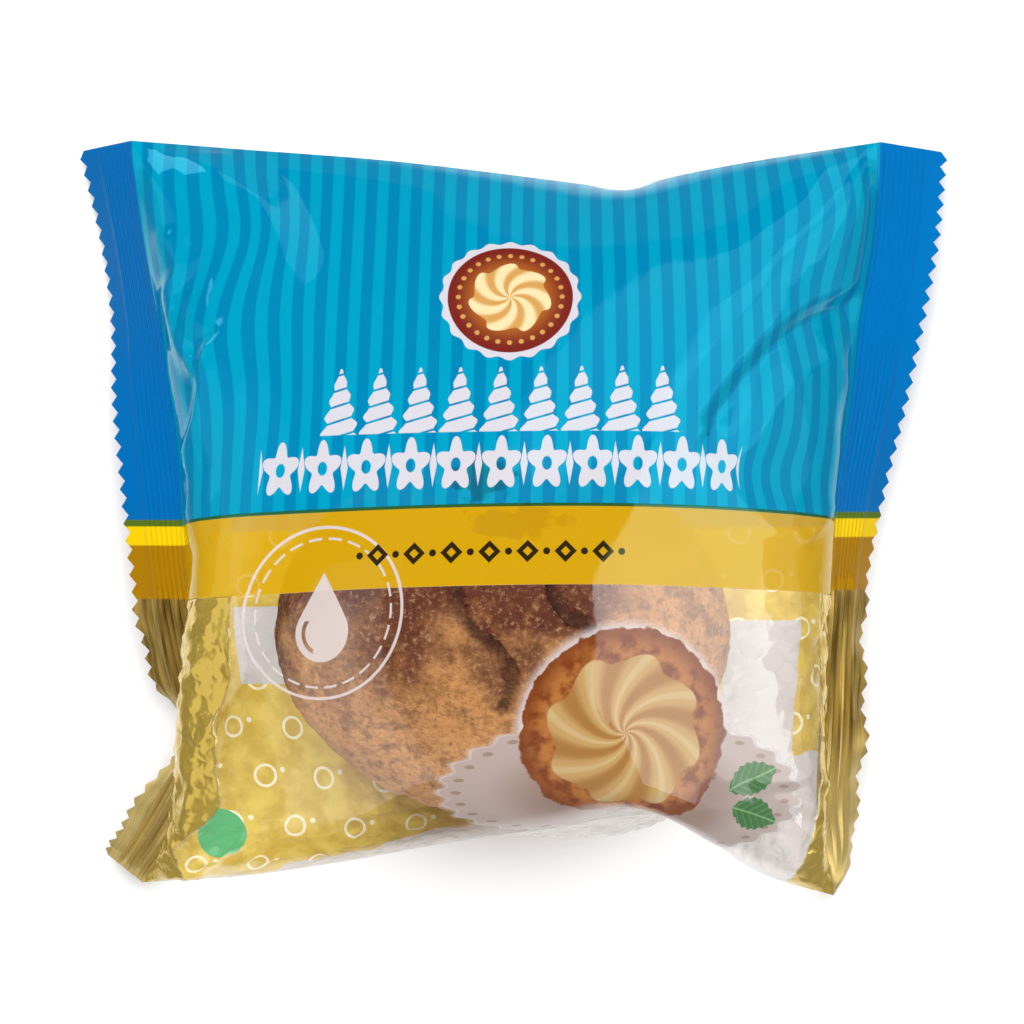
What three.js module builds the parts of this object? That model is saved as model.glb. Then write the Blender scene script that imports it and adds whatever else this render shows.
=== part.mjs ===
// A cream puff in a sealed film pack, lying on its back with the printed front up.
// The pack is a tube of film, folded at its top and bottom and crimped shut at its left and right ends.
// Units are millimetres. X runs along the pack's width, Y towards its top fold, Z up from the surface it lies on.
import * as THREE from "three";

// The flat film between the two end seals, and the cells of the grid that the finished skin is made of.
const FILM_WIDTH = 138;
const FILM_HEIGHT = 139;
const FILM_COLUMNS = 40;
const FILM_ROWS = 45;

// The end seals: crimp ridges along the inner part, then a plain margin cut to teeth, one tooth for each row.
const SEAL_THICKNESS = 0.7;
const CRIMP_SHARE = 0.64;
const RIDGE_COUNT = 5;
const RIDGE_HEIGHT = 0.35;
const TOOTH_SHARE = 0.09;

// The cream puff inside, as the rounded form that the film lies against.
const PUFF_LENGTH = 85;
const PUFF_WIDTH = 69;
const PUFF_HEIGHT = 45;
const PUFF_CENTRE = new THREE.Vector3(-1.5, -19.6, PUFF_HEIGHT / 2 + 0.3);

// How the film starts: two bulged sheets, drawn to the folds near their top and bottom, with a slight unevenness.
const FRONT_BULGE = 30;
const BACK_BULGE = -14;
const BULGE_FULLNESS = 0.7;
const FOLD_DRAW = 4;
const SHIVER = 0.25;

// How the film settles: rounds of fitting and the push of the air, on the coarse grid and then on the fine one.
const COARSE_ROUNDS = 1400;
const COARSE_PUSH = 0.02;
const FINE_ROUNDS = 300;
const FINE_PUSH = 0.006;
const AIR_SHARE = 0.8;

// The stiffness of each kind of tie, and how much less the film resists being pressed together.
const SHEAR_STIFFNESS = 0.45;
const BEND_STIFFNESS = 0.1;
const SQUEEZE = 0.6;
const SMOOTHING = 0.2;

// The film's lower rows are gathered a little, and its bottom fold is round and follows a guide line.
const TUCK = 0.04;
const TUCK_ROWS = 0.3;
const FOLD_GUIDE = 0.05;
const FOLD_ROUNDNESS = 0.9;
const FOLD_STIFFNESS = 0.2;

// The least space between the sheets, and the height below which the film lies flat on the surface.
const LAYER_GAP = 0.7;
const FLOOR_SNAP = 0.25;

// How finely a line's length is measured.
const LINE_DIVISIONS = 2000;

const PRINT_BLUE = 0x0894c6;
const FILM_ROUGHNESS = 0.25;

// Each seal as pairs of points, from the pack's bottom to its top: where the film enters the seal, and its cut edge.
const LEFT_SEAL = [
  [[-67.1, -65.4, 6.0], [-74.4, -60.1, 3.0]],
  [[-61.4, -57.8, 8.5], [-71.7, -55.4, 4.5]],
  [[-56.6, -48.8, 11.5], [-66.6, -47.6, 5.5]],
  [[-55.0, -38.7, 15.0], [-58.8, -38.7, 4.2]],
  [[-54.4, -30.8, 16.0], [-64.6, -30.2, 6.5]],
  [[-55.4, -21.8, 16.0], [-67.4, -21.8, 9.0]],
  [[-57.6, -11.0, 15.5], [-69.0, -11.0, 8.8]],
  [[-59.2, 5.2, 14.0], [-70.8, 5.2, 9.4]],
  [[-61.4, 21.4, 12.5], [-72.6, 21.4, 6.9]],
  [[-63.6, 36.0, 11.0], [-73.2, 36.0, 3.0]],
  [[-66.2, 50.0, 10.0], [-75.2, 50.0, 1.2]],
  [[-68.8, 68.2, 9.0], [-79.2, 66.9, 1.2]],
];
const RIGHT_SEAL = [
  [[57.1, -67.1, 12.5], [58.4, -67.9, 0.8]],
  [[55.6, -59.6, 13.5], [61.7, -59.0, 3.2]],
  [[54.2, -50.6, 15.0], [62.1, -50.4, 6.0]],
  [[54.4, -39.8, 16.0], [63.5, -39.8, 8.2]],
  [[55.3, -23.6, 16.5], [63.2, -23.6, 7.5]],
  [[56.3, -11.0, 16.0], [63.9, -11.0, 6.7]],
  [[57.6, 5.2, 14.5], [67.1, 5.2, 7.2]],
  [[60.3, 21.4, 12.5], [71.1, 21.4, 7.3]],
  [[62.1, 35.8, 10.5], [74.0, 35.8, 9.0]],
  [[64.6, 50.0, 8.5], [76.8, 50.0, 6.5]],
  [[66.1, 68.2, 6.5], [78.6, 66.5, 3.4]],
];

// The top fold's kink and the way the bottom fold runs round the puff, between the ends of the seals.
const TOP_FOLD = [
  [-50.0, 66.9, 7.0],
  [-21.6, 64.9, 4.5],
  [12.0, 61.0, 2.6],
  [20.8, 59.9, 2.2],
  [26.0, 61.6, 2.4],
  [41.0, 64.6, 3.6],
];
const BOTTOM_FOLD = [
  [-47.3, -63.7, 10.5],
  [-30.2, -60.6, 17.0],
  [-10.6, -56.8, 20.5],
  [8.0, -53.6, 21.0],
  [27.0, -51.8, 20.0],
  [35.5, -51.8, 17.5],
  [38.0, -59.0, 14.0],
  [45.0, -63.5, 12.5],
];

const point = (numbers) => new THREE.Vector3(...numbers);

// Evenly spaced points along a smooth line, and what rides on it at the same stations.
function spacedAlong(points, riders, steps) {
  const line = new THREE.CatmullRomCurve3(points, false, "centripetal");
  const rider = new THREE.CatmullRomCurve3(riders, false, "centripetal");
  line.arcLengthDivisions = LINE_DIVISIONS;
  return Array.from({ length: steps + 1 }, (_, k) => {
    const t = line.getUtoTmapping(k / steps);
    return { place: line.getPoint(t), carried: rider.getPoint(t) };
  });
}

// One seal, row by row: its inner point, the way out to the cut edge, and the normal of its upper face.
function sealRows(stations, steps) {
  const inner = stations.map(([from]) => point(from));
  const outer = stations.map(([, to]) => point(to));
  const rows = spacedAlong(inner, outer, steps);
  return rows.map(({ place, carried }, k) => {
    const before = rows[Math.max(k - 1, 0)].place;
    const after = rows[Math.min(k + 1, steps)].place;
    const reach = carried.clone().sub(place);
    const along = after.clone().sub(before);
    const normal = new THREE.Vector3().crossVectors(reach, along).normalize();
    if (normal.z < 0) normal.negate();
    return { place, reach, normal };
  });
}

// A fold between two seal ends, as evenly spaced points.
function foldLine(start, middle, end, steps) {
  const points = [start, ...middle.map(point), end];
  return spacedAlong(points, points, steps).map(({ place }) => place);
}

// A repeatable spread of numbers between -1 and 1.
function shiverAt(k) {
  const wave = Math.sin(k * 127.1 + 311.7) * 43758.5453;
  return 2 * (wave - Math.floor(wave)) - 1;
}

// The point midway between b and c on a smooth line through four points.
function midway(a, b, c, d) {
  return b.clone().add(c).multiplyScalar(9).sub(a).sub(d).divideScalar(16);
}

// Twice as many steps along a row of points, with smooth points in between.
function doubled(row) {
  const at = (k) => row[Math.min(Math.max(k, 0), row.length - 1)];
  return row.flatMap((p, k) =>
    k === row.length - 1 ? [p.clone()] : [p.clone(), midway(at(k - 1), p, at(k + 1), at(k + 2))],
  );
}

// Keeps a point of the film outside the puff.
function keepOffPuff(p) {
  const x = (p.x - PUFF_CENTRE.x) / (PUFF_LENGTH / 2);
  const y = (p.y - PUFF_CENTRE.y) / (PUFF_WIDTH / 2);
  const z = (p.z - PUFF_CENTRE.z) / (PUFF_HEIGHT / 2);
  const depth = Math.sqrt(x * x + y * y + z * z);
  if (depth >= 1) return;
  p.sub(PUFF_CENTRE).divideScalar(depth).add(PUFF_CENTRE);
}

// The film as two sheets of points, front and back, held by the seals and the top fold.
class Film {
  constructor(columns, rows) {
    this.columns = columns;
    this.rows = rows;
    this.left = sealRows(LEFT_SEAL, rows);
    this.right = sealRows(RIGHT_SEAL, rows);
    this.top = foldLine(this.left.at(-1).place, TOP_FOLD, this.right.at(-1).place, columns);
    this.bottom = foldLine(this.left[0].place, BOTTOM_FOLD, this.right[0].place, columns);
    this.held = [];
    this.eachCell((i, j) => this.held.push(i === 0 || i === columns || j === rows));
    this.ties = this.allTies();
  }

  // The number of the point in one column and row.
  cell(i, j) {
    return j * (this.columns + 1) + i;
  }

  eachCell(visit) {
    for (let j = 0; j <= this.rows; j++) {
      for (let i = 0; i <= this.columns; i++) visit(i, j);
    }
  }

  eachInnerCell(visit) {
    for (let j = 1; j < this.rows; j++) {
      for (let i = 1; i < this.columns; i++) visit(i, j);
    }
  }

  // The two sheets before they settle.
  start() {
    this.front = [];
    this.back = [];
    this.eachCell((i, j) => {
      const s = i / this.columns;
      const t = j / this.rows;
      const flat = this.left[j].place.clone().lerp(this.right[j].place, s);
      const fold = this.bottom[i].clone().lerp(this.top[i], t);
      flat.lerp(fold, Math.abs(2 * t - 1) ** FOLD_DRAW);
      const bulge = Math.sin(Math.PI * s) * Math.sin(Math.PI * t) ** BULGE_FULLNESS;
      const nudge = SHIVER * shiverAt(this.cell(i, j));
      this.front.push(flat.clone().add(new THREE.Vector3(0, 0, FRONT_BULGE * bulge + nudge)));
      this.back.push(flat.clone().add(new THREE.Vector3(0, 0, BACK_BULGE * bulge + nudge)));
    });
    this.holdEdges();
    return this;
  }

  // Puts the held points on the seals and the top fold.
  holdEdges() {
    for (let j = 0; j <= this.rows; j++) {
      for (const [i, seal] of [[0, this.left[j]], [this.columns, this.right[j]]]) {
        this.front[this.cell(i, j)].copy(seal.place).addScaledVector(seal.normal, SEAL_THICKNESS / 2);
        this.back[this.cell(i, j)].copy(seal.place).addScaledVector(seal.normal, -SEAL_THICKNESS / 2);
      }
    }
    for (let i = 1; i < this.columns; i++) {
      this.front[this.cell(i, this.rows)].copy(this.top[i]);
      this.back[this.cell(i, this.rows)].copy(this.top[i]);
    }
  }

  // The ties that keep a sheet from stretching, shearing and creasing, in groups that share no point.
  allTies() {
    const across = FILM_WIDTH / this.columns;
    const up = FILM_HEIGHT / this.rows;
    const kinds = [
      [1, 0, 1],
      [0, 1, 1],
      [1, 1, SHEAR_STIFFNESS],
      [1, -1, SHEAR_STIFFNESS],
      [2, 0, BEND_STIFFNESS],
      [0, 2, BEND_STIFFNESS],
    ];
    const gathered = (j) => 1 - TUCK * (1 - Math.min(j / this.rows / TUCK_ROWS, 1)) ** 2;
    const ties = [];
    for (const [di, dj, stiffness] of kinds) {
      const groups = [[], []];
      this.eachCell((i, j) => {
        if (i + di > this.columns || j + dj < 0 || j + dj > this.rows) return;
        const width = (di * across * (gathered(j) + gathered(j + dj))) / 2;
        const place = di ? Math.floor(i / di) : Math.floor(j / dj);
        const length = Math.hypot(width, dj * up);
        groups[place % 2].push({ a: this.cell(i, j), b: this.cell(i + di, j + dj), length, stiffness });
      });
      ties.push(...groups.flat());
    }
    return ties;
  }

  // Lets the film settle, while the push of the air inside fades away.
  settle(rounds, push) {
    for (let round = 0; round < rounds; round++) {
      const air = push * Math.max(0, 1 - round / (rounds * AIR_SHARE));
      this.inflate(this.front, air);
      this.inflate(this.back, -air);
      for (const sheet of [this.front, this.back]) {
        this.pullTies(sheet);
        this.smooth(sheet);
      }
      this.joinBottom();
      this.keepApart();
    }
    return this;
  }

  // Pushes a sheet's free points along their normals.
  inflate(sheet, push) {
    const pushes = [];
    this.eachInnerCell((i, j) => {
      const across = sheet[this.cell(i + 1, j)].clone().sub(sheet[this.cell(i - 1, j)]);
      const up = sheet[this.cell(i, j + 1)].clone().sub(sheet[this.cell(i, j - 1)]);
      pushes.push(across.cross(up).normalize());
    });
    this.eachInnerCell((i, j) => sheet[this.cell(i, j)].addScaledVector(pushes.shift(), push));
  }

  // Moves the ends of each tie towards its length. A held end stays where it is.
  pullTies(sheet) {
    const offset = new THREE.Vector3();
    for (const { a, b, length, stiffness } of this.ties) {
      const share = (this.held[a] ? 0 : 1) + (this.held[b] ? 0 : 1);
      if (!share) continue;
      offset.subVectors(sheet[b], sheet[a]);
      const distance = offset.length();
      const resistance = distance < length ? SQUEEZE * stiffness : stiffness;
      offset.multiplyScalar((resistance * (distance - length)) / (distance * share));
      if (!this.held[a]) sheet[a].add(offset);
      if (!this.held[b]) sheet[b].sub(offset);
    }
  }

  // How far each inner point of a sheet lies from the mean of the four around it.
  hollows(points) {
    const hollows = points.map(() => new THREE.Vector3());
    this.eachInnerCell((i, j) => {
      const around = [this.cell(i + 1, j), this.cell(i - 1, j), this.cell(i, j + 1), this.cell(i, j - 1)];
      const hollow = hollows[this.cell(i, j)];
      for (const k of around) hollow.addScaledVector(points[k], 1 / 4);
      hollow.sub(points[this.cell(i, j)]);
    });
    return hollows;
  }

  // Evens out how a sheet curves, as the stiffness of the film does.
  smooth(sheet) {
    const changes = this.hollows(this.hollows(sheet));
    sheet.forEach((p, k) => p.addScaledVector(changes[k], -SMOOTHING));
  }

  // Joins the sheets along the round bottom fold.
  joinBottom() {
    const roundness = ((2 * FILM_HEIGHT) / this.rows) * FOLD_ROUNDNESS;
    for (let i = 1; i < this.columns; i++) {
      const front = this.front[this.cell(i, 1)];
      const back = this.back[this.cell(i, 1)];
      const offset = back.clone().sub(front);
      const distance = offset.length();
      offset.multiplyScalar((FOLD_STIFFNESS * Math.min(distance - roundness, 0)) / (2 * distance));
      front.add(offset);
      back.sub(offset);
      const joined = this.front[i].clone().add(this.back[i]).multiplyScalar(1 / 2);
      joined.lerp(this.bottom[i], FOLD_GUIDE);
      this.front[i].copy(joined);
      this.back[i].copy(joined);
    }
  }

  // Keeps a point of the film from bulging out past the top fold.
  keepBelowTop(p) {
    const next = this.top.findIndex((q) => q.x > p.x);
    if (next < 1) return;
    const [a, b] = [this.top[next - 1], this.top[next]];
    p.y = Math.min(p.y, THREE.MathUtils.mapLinear(p.x, a.x, b.x, a.y, b.y));
  }

  // Keeps the sheets below the top fold, and off the puff, the surface below and each other.
  keepApart() {
    this.eachCell((i, j) => {
      const k = this.cell(i, j);
      if (this.held[k]) return;
      for (const p of [this.front[k], this.back[k]]) {
        this.keepBelowTop(p);
        keepOffPuff(p);
      }
      this.back[k].z = Math.max(this.back[k].z, 0);
      const lift = LAYER_GAP - (this.front[k].z - this.back[k].z);
      if (j > 0 && lift > 0) this.front[k].z += lift;
    });
  }

  // The rows of points of one sheet, each so many cells apart.
  sheetRows(sheet, stride) {
    const rows = [];
    for (let j = 0; j <= this.rows; j += stride) {
      const row = sheet.slice(this.cell(0, j), this.cell(0, j + 1));
      rows.push(row.filter((_, i) => i % stride === 0));
    }
    return rows;
  }

  // The same film with a grid twice as fine.
  finer() {
    const fine = new Film(2 * this.columns, 2 * this.rows);
    const refined = (sheet) => {
      const wide = this.sheetRows(sheet, 1).map(doubled);
      const columns = wide[0].map((_, i) => doubled(wide.map((row) => row[i])));
      return columns[0].flatMap((_, j) => columns.map((column) => column[j]));
    };
    fine.front = refined(this.front);
    fine.back = refined(this.back);
    fine.holdEdges();
    return fine;
  }
}

// The stations across a seal as shares of its reach, from the tooth roots in to the film, with the ridge's rise.
function sealStations() {
  const stations = [{ share: 1 - TOOTH_SHARE, rise: 0 }];
  const steps = 2 * RIDGE_COUNT;
  for (let k = steps; k >= 0; k--) {
    const rise = k % 2 ? RIDGE_HEIGHT : 0;
    stations.push({ share: (CRIMP_SHARE * k) / steps, rise });
  }
  return stations;
}

// A point on one face of a seal. side is 1 for the upper face and -1 for the lower.
function onSeal({ place, reach, normal }, share, rise, side) {
  const lift = rise + (side * SEAL_THICKNESS) / 2;
  return place.clone().addScaledVector(reach, share).addScaledVector(normal, lift);
}

// One face of the whole pack as rows of points, from the left seal's cut edge to the right one's.
function faceRows(left, right, sheet, side) {
  const stations = sealStations().slice(0, -1);
  return Array.from({ length: FILM_ROWS + 1 }, (_, j) => [
    ...stations.map(({ share, rise }) => onSeal(left[j], share, rise, side)),
    ...sheet[j],
    ...stations.toReversed().map(({ share, rise }) => onSeal(right[j], share, rise, side)),
  ]);
}

// The tips of the teeth on one seal's cut edge, midway between rows.
function toothTips(seal, side) {
  return Array.from({ length: FILM_ROWS }, (_, j) =>
    onSeal(seal[j], 1, 0, side).lerp(onSeal(seal[j + 1], 1, 0, side), 0.5),
  );
}

// The closed skin of the pack, from its two faces and the teeth of its seals.
class PackGeometry extends THREE.BufferGeometry {
  constructor(left, right, front, back) {
    super();
    this.points = [];
    this.corners = [];
    const upper = this.addRows(faceRows(left, right, front, 1));
    const lower = this.addRows(faceRows(left, right, back, -1), upper);
    const columns = upper[0].length - 1;
    for (let j = 0; j < FILM_ROWS; j++) {
      for (let i = 0; i < columns; i++) {
        this.addQuad(upper[j][i], upper[j][i + 1], upper[j + 1][i + 1], upper[j + 1][i]);
        this.addQuad(lower[j][i], lower[j + 1][i], lower[j + 1][i + 1], lower[j][i + 1]);
      }
    }
    for (let i = 0; i < columns; i++) {
      this.addQuad(lower[0][i], lower[0][i + 1], upper[0][i + 1], upper[0][i]);
      const last = FILM_ROWS;
      this.addQuad(upper[last][i], upper[last][i + 1], lower[last][i + 1], lower[last][i]);
    }
    this.addTeeth(left, upper, lower, 0);
    this.addTeeth(right, upper, lower, columns);
    this.setAttribute("position", new THREE.Float32BufferAttribute(this.points, 3));
    this.setIndex(this.corners);
    this.computeVertexNormals();
  }

  // Adds a point and gives its number.
  addPoint(p) {
    this.points.push(p.x, p.y, p.z);
    return this.points.length / 3 - 1;
  }

  // Adds rows of points. Where the two faces meet in a fold, the other face's point is used again.
  addRows(rows, other) {
    const seal = 2 * RIDGE_COUNT + 1;
    return rows.map((row, j) =>
      row.map((p, i) => {
        const inFilm = i > seal && i < row.length - 1 - seal;
        const inFold = other && inFilm && (j === 0 || j === FILM_ROWS);
        return inFold ? other[j][i] : this.addPoint(p);
      }),
    );
  }

  // Adds a triangle, unless a fold has closed it.
  addTriangle(a, b, c) {
    if (a !== b && b !== c && c !== a) this.corners.push(a, b, c);
  }

  addQuad(a, b, c, d) {
    this.addTriangle(a, b, c);
    this.addTriangle(a, c, d);
  }

  // Adds the teeth along one cut edge, at one end of the rows.
  addTeeth(seal, upper, lower, column) {
    const tips = toothTips(seal, 1).map((p) => this.addPoint(p));
    const lowTips = toothTips(seal, -1).map((p) => this.addPoint(p));
    tips.forEach((tip, j) => {
      const ends = column ? [j, j + 1] : [j + 1, j];
      const [a, b] = ends.map((row) => upper[row][column]);
      const [c, d] = ends.map((row) => lower[row][column]);
      this.addTriangle(a, tip, b);
      this.addTriangle(d, lowTips[j], c);
      this.addQuad(c, lowTips[j], tip, a);
      this.addQuad(lowTips[j], d, b, tip);
    });
  }
}

const film = new Film(FILM_COLUMNS, FILM_ROWS).start().settle(COARSE_ROUNDS, COARSE_PUSH);
const settled = film.finer().settle(FINE_ROUNDS, FINE_PUSH);
const front = settled.sheetRows(settled.front, 2);
const back = settled.sheetRows(settled.back, 2);
for (const p of back.flat()) {
  if (p.z < FLOOR_SNAP) p.z = 0;
}

const packFilm = new THREE.MeshStandardMaterial({
  color: PRINT_BLUE,
  roughness: FILM_ROUGHNESS,
  metalness: 0,
});
const pack = new THREE.Mesh(new PackGeometry(film.left, film.right, front, back), packFilm);
pack.name = "cream_puff_pack";

// The middle of the pack's base is the origin.
const middle = new THREE.Box3().setFromObject(pack).getCenter(new THREE.Vector3());
pack.position.set(-middle.x, -middle.y, 0);

const creamPuffPack = new THREE.Group();
creamPuffPack.add(pack);

export default creamPuffPack;
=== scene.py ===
# %% [markdown]
# # A cream puff in its film pack
# The object is a choux puff sealed in a pillow of printed film. The film is a tube: folded along
# its top and its bottom, crimped shut at its left and right ends, and cut to teeth there. Its upper
# half is printed in blue stripes, a yellow band runs under them, and below the band the front is
# clear, so the puff and the gilded inside of the back film show through. The pack lies on its back,
# and the camera looks straight down on it.
#
# The solid pack comes in first, as a fixed frame. It is one closed form that stands for film, air
# and puff, and everything modelled here fits it, in metres, with nothing moved afterwards.

# %% Load the solid pack
import math
from types import SimpleNamespace

import bpy
import numpy as np
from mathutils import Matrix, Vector


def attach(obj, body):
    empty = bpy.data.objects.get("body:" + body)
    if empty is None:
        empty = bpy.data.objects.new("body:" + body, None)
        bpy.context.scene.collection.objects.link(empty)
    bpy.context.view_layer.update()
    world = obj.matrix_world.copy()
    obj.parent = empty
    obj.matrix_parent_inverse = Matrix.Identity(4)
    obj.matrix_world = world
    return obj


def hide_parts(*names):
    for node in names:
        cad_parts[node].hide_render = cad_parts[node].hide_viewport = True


MM = 0.001
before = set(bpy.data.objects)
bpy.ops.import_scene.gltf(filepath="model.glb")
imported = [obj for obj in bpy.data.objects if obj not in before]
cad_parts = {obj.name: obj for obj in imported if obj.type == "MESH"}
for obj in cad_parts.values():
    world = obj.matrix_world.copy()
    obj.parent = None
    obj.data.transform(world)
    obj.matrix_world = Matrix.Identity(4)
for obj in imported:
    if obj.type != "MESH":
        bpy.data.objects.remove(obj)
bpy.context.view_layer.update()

# %% [markdown]
# ## Camera
# The photograph looks square at the printed front. One of its pixels covers 0.18 mm at the height
# of the seals, so the lens follows from the camera's height: a picture 1024 pixels wide has to be
# that many times 0.18 mm wide. A long lens far away keeps the pillow's bulge from growing too large
# in the middle.

# %% Place the camera
PHOTO_PIXELS = 1024
PIXEL_SIZE = 0.18 * MM
SEAL_LEVEL = 8 * MM
CAMERA_PLACE = Vector((-0.18 * MM, 1.26 * MM, 700 * MM))

bpy.ops.object.select_all(action="DESELECT")
bpy.ops.object.camera_add(location=CAMERA_PLACE, rotation=(0, 0, 0))
camera = bpy.context.object
picture_width = PHOTO_PIXELS * PIXEL_SIZE
camera.data.lens = camera.data.sensor_width * (CAMERA_PLACE.z - SEAL_LEVEL) / picture_width
camera.data.clip_start = 10 * MM
bpy.context.scene.camera = camera
print("lens, mm:", round(camera.data.lens, 1))

# %% [markdown]
# ## Light and floor
# Glossy film shows its surroundings, so some lights are there for their reflections only. A row of
# panels on the right begins 24 degrees from the vertical, seen from the pack: its edge draws the
# slanting border of the pale reflection that crosses the stripes, the band and the window. The row
# fades towards the pack's top. A dimmer panel carries it on down towards the table, and a narrow
# one stands beyond the upper right corner. On the left stand a dim panel and a brighter, lower one,
# and a small low panel past the top left corner puts glints on the creases there. Straight above
# the pack the room is dark, which keeps the print deep in colour. The light itself comes from three
# wide lamps: a strong one past the pack's top, where the lamp hung over the standing pack, one
# overhead and one past its bottom, in place of what the table threw back. A photographer keeps such
# lamps from showing in the film with a polarising filter. Here each kind of light does its own
# part: panels are mirrored and lamps shine.

# %% Set up the panels, the lamps and the floor
PANEL_DISTANCE = 0.8
RIGHT_ROW = [2.4, 2.4, 2.4, 2.0, 1.4]
ROW_ANGLES = (24, 60)
ROW_START = -0.7
ROW_STEP = 0.4
FLOOR_SIZE = 4
FLOOR_LEVEL = -0.3 * MM


def add_panel(name, azimuth, first, last, length, shift, brightness):
    """A mirrored rectangle at an azimuth, from a first to a last angle off the vertical, in degrees."""
    middle = math.radians((first + last) / 2)
    half = math.radians((last - first) / 2)
    turn = math.radians(azimuth)
    away = Vector((math.sin(middle) * math.cos(turn), math.sin(middle) * math.sin(turn), math.cos(middle)))
    place = PANEL_DISTANCE * away + Vector((0, shift, 0))
    bpy.ops.object.light_add(type="AREA", location=place)
    panel = bpy.context.object
    panel.name = name
    panel.rotation_euler = away.to_track_quat("Z", "Y").to_euler()
    panel.data.shape = "RECTANGLE"
    panel.data.size = length
    panel.data.size_y = 2 * PANEL_DISTANCE * math.tan(half)
    panel.data.energy = brightness * math.pi * panel.data.size * panel.data.size_y
    panel.visible_camera = False
    panel.visible_diffuse = False


def add_lamp(name, place, width, power):
    """A round light that shines on the pack and that film doesn't mirror."""
    bpy.ops.object.light_add(type="AREA", location=place)
    lamp = bpy.context.object
    lamp.rotation_euler = Vector(place).to_track_quat("Z", "Y").to_euler()
    lamp.name = name
    lamp.data.shape = "DISK"
    lamp.data.size = width
    lamp.data.energy = power
    lamp.visible_camera = False
    lamp.visible_glossy = False


for k, brightness in enumerate(RIGHT_ROW):
    add_panel(f"panel_right_{k}", 0, *ROW_ANGLES, ROW_STEP, ROW_START + k * ROW_STEP, brightness)
add_panel("panel_right_low", 0, 60, 82, 1.6, 0.1, 0.6)
add_panel("panel_right_far", 74, 30, 88, 0.36, 0, 1.1)
add_panel("panel_left_edge", 180, 36, 45, 2.4, -0.8, 0.35)
add_panel("panel_left_low", 180, 45, 75, 2.4, -0.8, 0.7)
add_panel("panel_corner", 130, 60, 85, 0.7, 0.3, 4.0)
add_lamp("lamp_top", (0, 0.6, 1.0), 1.4, 18.5)
add_lamp("lamp_over", (0, 0, 1.1), 1.4, 4.5)
add_lamp("lamp_table", (-0.1, -0.85, 0.75), 1.2, 5.5)
bpy.ops.mesh.primitive_plane_add(size=FLOOR_SIZE, location=(0, 0, FLOOR_LEVEL))
floor = bpy.context.object
floor.name = "floor"

# %% [markdown]
# ## A way to write node trees
# A printed film is drawn by arithmetic on its own flat coordinates, so its materials are long
# chains of small nodes. Writing each node by hand hides the idea under bookkeeping. This helper
# adds one node per call, links or sets its inputs, and gives back the socket that comes out, so
# that a chain reads like a formula.

# %% The wiring helper


class Wires:
    """A node tree that is being wired. Each call adds one node and gives back its output socket."""

    def __init__(self, tree):
        self.tree = tree

    def put(self, socket, value):
        """Links a socket to another, or sets it to a plain value."""
        if isinstance(value, bpy.types.NodeSocket):
            self.tree.links.new(value, socket)
        else:
            socket.default_value = value

    def node(self, kind, inputs, output=0, **settings):
        made = self.tree.nodes.new(kind)
        for name, value in settings.items():
            setattr(made, name, value)
        for key, value in inputs:
            self.put(made.inputs[key], value)
        return made.outputs[output]

    def math(self, operation, *values):
        return self.node("ShaderNodeMath", enumerate(values), operation=operation)

    def add(self, a, b):
        return self.math("ADD", a, b)

    def sub(self, a, b):
        return self.math("SUBTRACT", a, b)

    def mul(self, a, b):
        return self.math("MULTIPLY", a, b)

    def mul_add(self, a, b, c):
        """a * b + c."""
        return self.math("MULTIPLY_ADD", a, b, c)

    def min(self, a, b):
        return self.math("MINIMUM", a, b)

    def max(self, a, b):
        return self.math("MAXIMUM", a, b)

    def abs(self, a):
        return self.math("ABSOLUTE", a)

    def vector(self, operation, *values):
        return self.node("ShaderNodeVectorMath", enumerate(values), operation=operation)

    def length(self, place):
        """How far a place is from zero. The node gives that as its output 1."""
        return self.node("ShaderNodeVectorMath", [(0, place)], 1, operation="LENGTH")

    def fade(self, value, start, end):
        """0 at start, 1 at end, with a soft step between."""
        inputs = enumerate((value, start, end))
        return self.node("ShaderNodeMapRange", inputs, interpolation_type="SMOOTHSTEP")

    def mix(self, share, first, second, blend="MIX"):
        """Blends two colours. In this node, inputs 6 and 7 are the colours, and output 2 is theirs."""
        inputs = ((0, share), (6, first), (7, second))
        return self.node("ShaderNodeMix", inputs, 2, data_type="RGBA", blend_type=blend)

    def noise(self, place, scale, detail=3.0, roughness=0.5, output="Fac", **settings):
        inputs = [("Vector", place), ("Scale", scale), ("Detail", detail), ("Roughness", roughness)]
        return self.node("ShaderNodeTexNoise", inputs, output, **settings)

    def split(self, place):
        parts = self.tree.nodes.new("ShaderNodeSeparateXYZ")
        self.put(parts.inputs[0], place)
        return parts.outputs[0], parts.outputs[1], parts.outputs[2]

    def join(self, x, y, z=0.0):
        return self.node("ShaderNodeCombineXYZ", enumerate((x, y, z)))


def linear(red, green, blue):
    """A colour as the eye reads it, 0 to 255, as the light values that a shader wants."""
    parts = [c / 255 for c in (red, green, blue)]
    light = [c / 12.92 if c <= 0.04045 else ((c + 0.055) / 1.055) ** 2.4 for c in parts]
    return (*light, 1.0)


def grey(level):
    """A colour without a hue, as a light value."""
    return (level, level, level, 1.0)


def new_material(name):
    """An empty material, and the wires to fill it with."""
    material = bpy.data.materials.new(name)
    material.use_nodes = True
    material.node_tree.nodes.clear()
    return material, Wires(material.node_tree)


def finish_material(wires, shader):
    output = wires.tree.nodes.new("ShaderNodeOutputMaterial")
    wires.put(output.inputs["Surface"], shader)


print("white paper as light:", [round(c, 2) for c in linear(229, 225, 232)[:3]])

# %% [markdown]
# ### Floor and room
# The floor is a plain pale sheet with a trace of unevenness. The room is a soft grey. It darkens
# straight above the pack, where the camera stands, and past the pack's top, as a studio does behind
# its lights. Steep film mirrors the floor next to it. Farther off, that mirrored floor is as dim as
# the room.

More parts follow.
